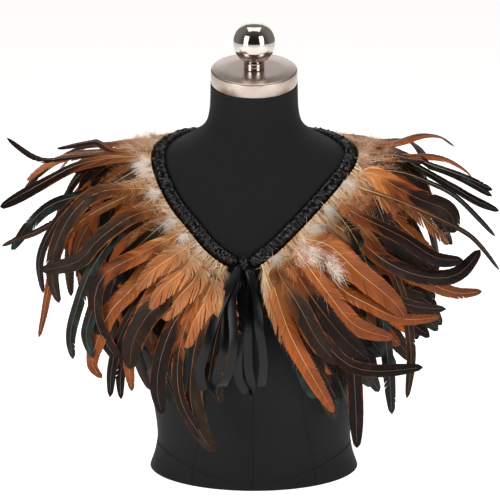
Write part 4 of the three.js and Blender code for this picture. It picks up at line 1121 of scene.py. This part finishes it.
# a white plume of down over the right front: column, row and depth of the spots that its tufts lie round
plume = {"spots": [(297, 250, -146), (307, 254, -148), (317, 258, -150), (327, 264, -152), (336, 271, -153)],
         "tufts": 4, "apart": 6.5, "strands": 24, "scatter": 3.2, "way": (0.8, -0.12, -0.5), "fan": 0.45,
         "from": 8, "more": 14, "radius": 0.13}
for spot in plume["spots"]:
    stray = plume["apart"] * luck.normal(size=(plume["tufts"], 3)) * np.array([1, 0.2, 1])
    for root in seenAt(*spot) + stray:
        ways = np.array(plume["way"]) + plume["fan"] * luck.normal(size=(plume["strands"], 3))
        start = root + plume["scatter"] * luck.normal(size=ways.shape) * np.array([1, 0.3, 1])
        tones = np.clip(0.16 + 0.2 * luck.normal(size=plume["strands"]), 0, 1)
        lengths = plume["from"] + plume["more"] * luck.random(len(ways))
        addHairs(heaps["top", "front_right"], start, ways, lengths, tones, plume["radius"], luck)

# short barbs that stand out all along the edge of the neckband
edge = {"strands": 5200, "out": 8.7, "high": (5.4, 8.0), "jitter": 0.36, "from": 6, "more": 10,
        "radius": 0.19}
share = np.linspace(0.013, 0.986, edge["strands"]) + 0.002 * luck.normal(size=edge["strands"])
frames = neckFrame(share)
root = besideNeck(frames, np.full(edge["strands"], edge["out"]),
                  np.interp(luck.random(edge["strands"]), [0, 1], edge["high"]))
ways = frames[2] + frames[1] * (0.3 * luck.random((edge["strands"], 1)) - 0.08)
ways = ways + edge["jitter"] * luck.normal(size=root.shape)
tones = np.clip(0.5 + 0.3 * np.sin(share * 83) + 0.15 * luck.normal(size=edge["strands"]), 0, 1)
names = np.array([sectorOf(s) for s in share])
for sector in sectors:
    mine = names == sector
    lengths = edge["from"] + edge["more"] * luck.random(mine.sum())
    addHairs(heaps["top", sector], root[mine], ways[mine], lengths, tones[mine], edge["radius"], luck, 1)

for (rowName, sector), heap in heaps.items():
    node = f"feathers_{rowName}_{sector}"
    piece = pieceFromHeap(f"plumes_{rowName}_{sector}", heap, featherSlots)
    settle(piece, [node], 35)


# bow: one ribbon tied in a knot, with two hanging loops and two tails
knot = {"x": -12.5, "z": 298, "clear": 8.2, "across": 7.1, "deep": 5.6, "tall": 8.4, "full": 1.04,
        "cloth": 40}
knotSize = np.array([knot["across"], knot["deep"], knot["tall"]])
ribbonCut = {"width": 10.5, "thick": 0.7, "spanSteps": 12, "lines": 9}
# a ribbon leaves the knot by its first way and a loop comes back by its second, between them it passes
# points given as x, z and mm off the form
ribbons = {
    "bow_loop_left": {"from": (-0.55, -0.55, -0.65), "to": (-0.7, -0.4, -0.65), "points": [
        (-26, 264, 31), (-24, 222, 40), (-30, 180, 47), (-41, 160, 49), (-44, 172, 43), (-36, 205, 36),
        (-31, 250, 25)]},
    "bow_loop_right": {"from": (0.15, 0.1, -1), "to": (0.35, 0.5, -0.9), "points": [
        (-13, 250, 10), (-18, 205, 11), (-19, 160, 12), (-9, 138, 12.5), (-3, 146, 9), (-7, 175, 6),
        (-8, 225, 4.5)]},
    "bow_tail_left": {"from": (-0.8, -0.8, -0.1), "to": None, "points": [
        (-38, 262, 38), (-53, 222, 50), (-63, 185, 58), (-60, 158, 64)]},
    "bow_tail_right": {"from": (0.7, -0.6, -0.5), "to": None, "points": [
        (3, 262, 17), (6, 225, 17), (11, 185, 17), (9, 148, 16)]},
}


def onFront(x, z, clear):
    half, mid, front, _ = smoothAt(formSections, z)
    return np.array([x, mid - front * math.sqrt(1 - (x / half) ** 2) - clear, z])


knotMiddle = onFront(knot["x"], knot["z"], knot["clear"])


def offKnot(way):
    way = np.array(way, float)
    far = np.linalg.norm(way / knotSize)
    return knotMiddle + way * (1 / far)


for name, ribbon in ribbons.items():
    line = [offKnot(ribbon["from"])] + [onFront(*point) for point in ribbon["points"]]
    if ribbon["to"]:
        line.append(offKnot(ribbon["to"]))
    steps = (len(line) - 1) * ribbonCut["spanSteps"]
    share = np.linspace(0, 1, steps + 1)
    middle = curveThrough(line, share)
    along = unit(np.gradient(middle, axis=0))
    side = unit(np.array([1, 0, 0]) - along * along[:, :1])
    face = np.cross(side, along)
    ends = np.minimum(share, 1 - share) if ribbon["to"] else share
    half = ribbonCut["width"] / 2 * np.minimum(1, 0.35 + 9 * ends)
    turn = (0.25 * np.sin(share * 9 + len(line)))[:, None]
    side, face = side * np.cos(turn) + face * np.sin(turn), face * np.cos(turn) - side * np.sin(turn)
    pull = np.clip(1 - ends * 7, 0, 1)[:, None]  # gathered where it enters the knot
    places = np.linspace(-1, 1, ribbonCut["lines"])
    curl = (places ** 2)[None, :] * 0.5 + pull * 0.7 * np.cos(places * 9)[None, :]
    top = (middle[:, None] + side[:, None] * (half[:, None] * places)[..., None]
           + face[:, None] * (curl + ribbonCut["thick"] / 2)[..., None])
    low = top - face[:, None] * ribbonCut["thick"]
    points, quads, tris = tubeRings(np.concatenate([top, low[:, ::-1]], 1))
    length = float(np.linalg.norm(np.diff(middle, axis=0), axis=1).sum())
    wide = np.r_[places, places[::-1]] * ribbonCut["width"] / 2
    cloth = np.stack(np.broadcast_arrays(wide[None, :], share[:, None] * length), -1).reshape(-1, 2)
    heap = newHeap()
    addToHeap(heap, points, quads, tris, 0, vane=cloth)
    piece = settle(clothPiece("satin_" + name, heap, "ribbonSatin"), [name], 50)
    print(f"{name}: cut {ribbonCut['width']} x {length:.0f} mm")

# the knot: the ribbon's turns pulled tight, bulging between their creases
bpy.ops.mesh.primitive_uv_sphere_add(segments=48, ring_count=32, radius=1)
knotPiece = bpy.context.object
knotPiece.name = "satin_bow_knot"
ball = np.array([corner.co for corner in knotPiece.data.vertices])
around, high = np.arctan2(ball[:, 1], ball[:, 0]), ball[:, 2]
crease = np.abs(np.sin(3.5 * high + 0.7 * np.cos(around) + 0.6)) ** 0.45
pinch = 1 - 0.2 * np.exp(-((high - 0.15) / 0.22) ** 2)
bulge = (0.82 + 0.2 * crease) * pinch
size = knotSize * knot["full"]
shape = knotMiddle + ball * size * np.stack([bulge, bulge, np.ones_like(bulge)], -1)
knotPiece.data.vertices.foreach_set("co", (shape * mm).ravel())
knotPiece.location = (0, 0, 0)
knotPiece.data.uv_layers[0].name = "cloth"
knotMap = np.array([corner.uv for corner in knotPiece.data.uv_layers[0].data]) * knot["cloth"]
knotPiece.data.uv_layers[0].data.foreach_set("uv", knotMap.ravel())
knotPiece.data.materials.append(paint["ribbonSatin"])
settle(knotPiece, ["bow_knot"], 60)
print("bow made")


# studio: pale floor, bright surroundings, two tall soft boxes in front, one above and one behind
# in metres: a front box has side in degrees, distance, height, width, length and watts
studio = {"floor": 7.0, "floorZ": -0.0006,
          "front": [(-46, 1.9, 1.0, 0.75, 1.7, 25), (43, 1.9, 1.0, 0.75, 1.7, 22)],
          "others": {"top_box": ((0, 0.1, 2.2), 1.6, 1.2, 11), "back_box": ((0, 2.4, 1.5), 2.0, 1.2, 9)}}
bpy.ops.mesh.primitive_circle_add(vertices=96, radius=studio["floor"], fill_type="NGON",
                                  location=(0, 0, studio["floorZ"]))
floor = bpy.context.object
floor.name = "studio_floor"
floorPaint, floorTree, floorShader = newMaterial("studio_paper", {
    "Base Color": hexColour("#F6F5F3"), "Roughness": 0.9, "Emission Color": (1, 1, 1, 1),
    "Emission Strength": 0.8})
grain = addNode(floorTree, "TexNoise", {"Scale": 60.0, "Detail": 3.0})
bump = addNode(floorTree, "Bump", {"Strength": 0.05, "Distance": 0.2 * mm}, {"Height": grain})
joinTo(floorTree, floorShader, {"Normal": bump})
floor.data.materials.append(floorPaint)

world = bpy.data.worlds.new("studio_air")
world.use_nodes = True
scene.world = world
air = world.node_tree
sky = air.nodes["Background"]
sky.inputs["Strength"].default_value = 1.0
wayIn = addNode(air, "TexCoord").outputs["Generated"]
wayParts = addNode(air, "SeparateXYZ", links={0: wayIn})
back = addNode(air, "MapRange", {"From Min": -1.0, "From Max": 1.0}, {"Value": wayParts.outputs[1]})
greys = [(0.06, "#2C2624"), (0.3, "#5A5350"), (0.62, "#8E8A87")]
room = addNode(air, "ValToRGB", {"stops": greys}, {0: back})
cameraRay = addNode(air, "LightPath").outputs["Is Camera Ray"]
shown = addNode(air, "Mix", {"data_type": "RGBA", 7: (1, 1, 1, 1)}, {0: cameraRay, 6: room})
joinTo(air, sky, {"Color": shown.outputs[2]})


def addSoftBox(name, spot, aim, width, tall, power):
    bpy.ops.object.light_add(type="AREA", location=spot)
    box = bpy.context.object
    box.name = name
    box.data.shape = "RECTANGLE"
    box.data.size, box.data.size_y = width, tall
    box.data.energy = power
    box.rotation_euler = (Vector(aim) - Vector(spot)).to_track_quat("-Z", "Y").to_euler()


for k, (side, away, height, wide, tall, power) in enumerate(studio["front"]):
    spot = (away * math.sin(side * deg), -away * math.cos(side * deg), height)
    addSoftBox(f"soft_box_{k}", spot, (0, 0, 0.32), wide, tall, power)
for name, (spot, wide, tall, power) in studio["others"].items():
    addSoftBox(name, spot, (0, 0, 0.3), wide, tall, power)

print("scene ready")
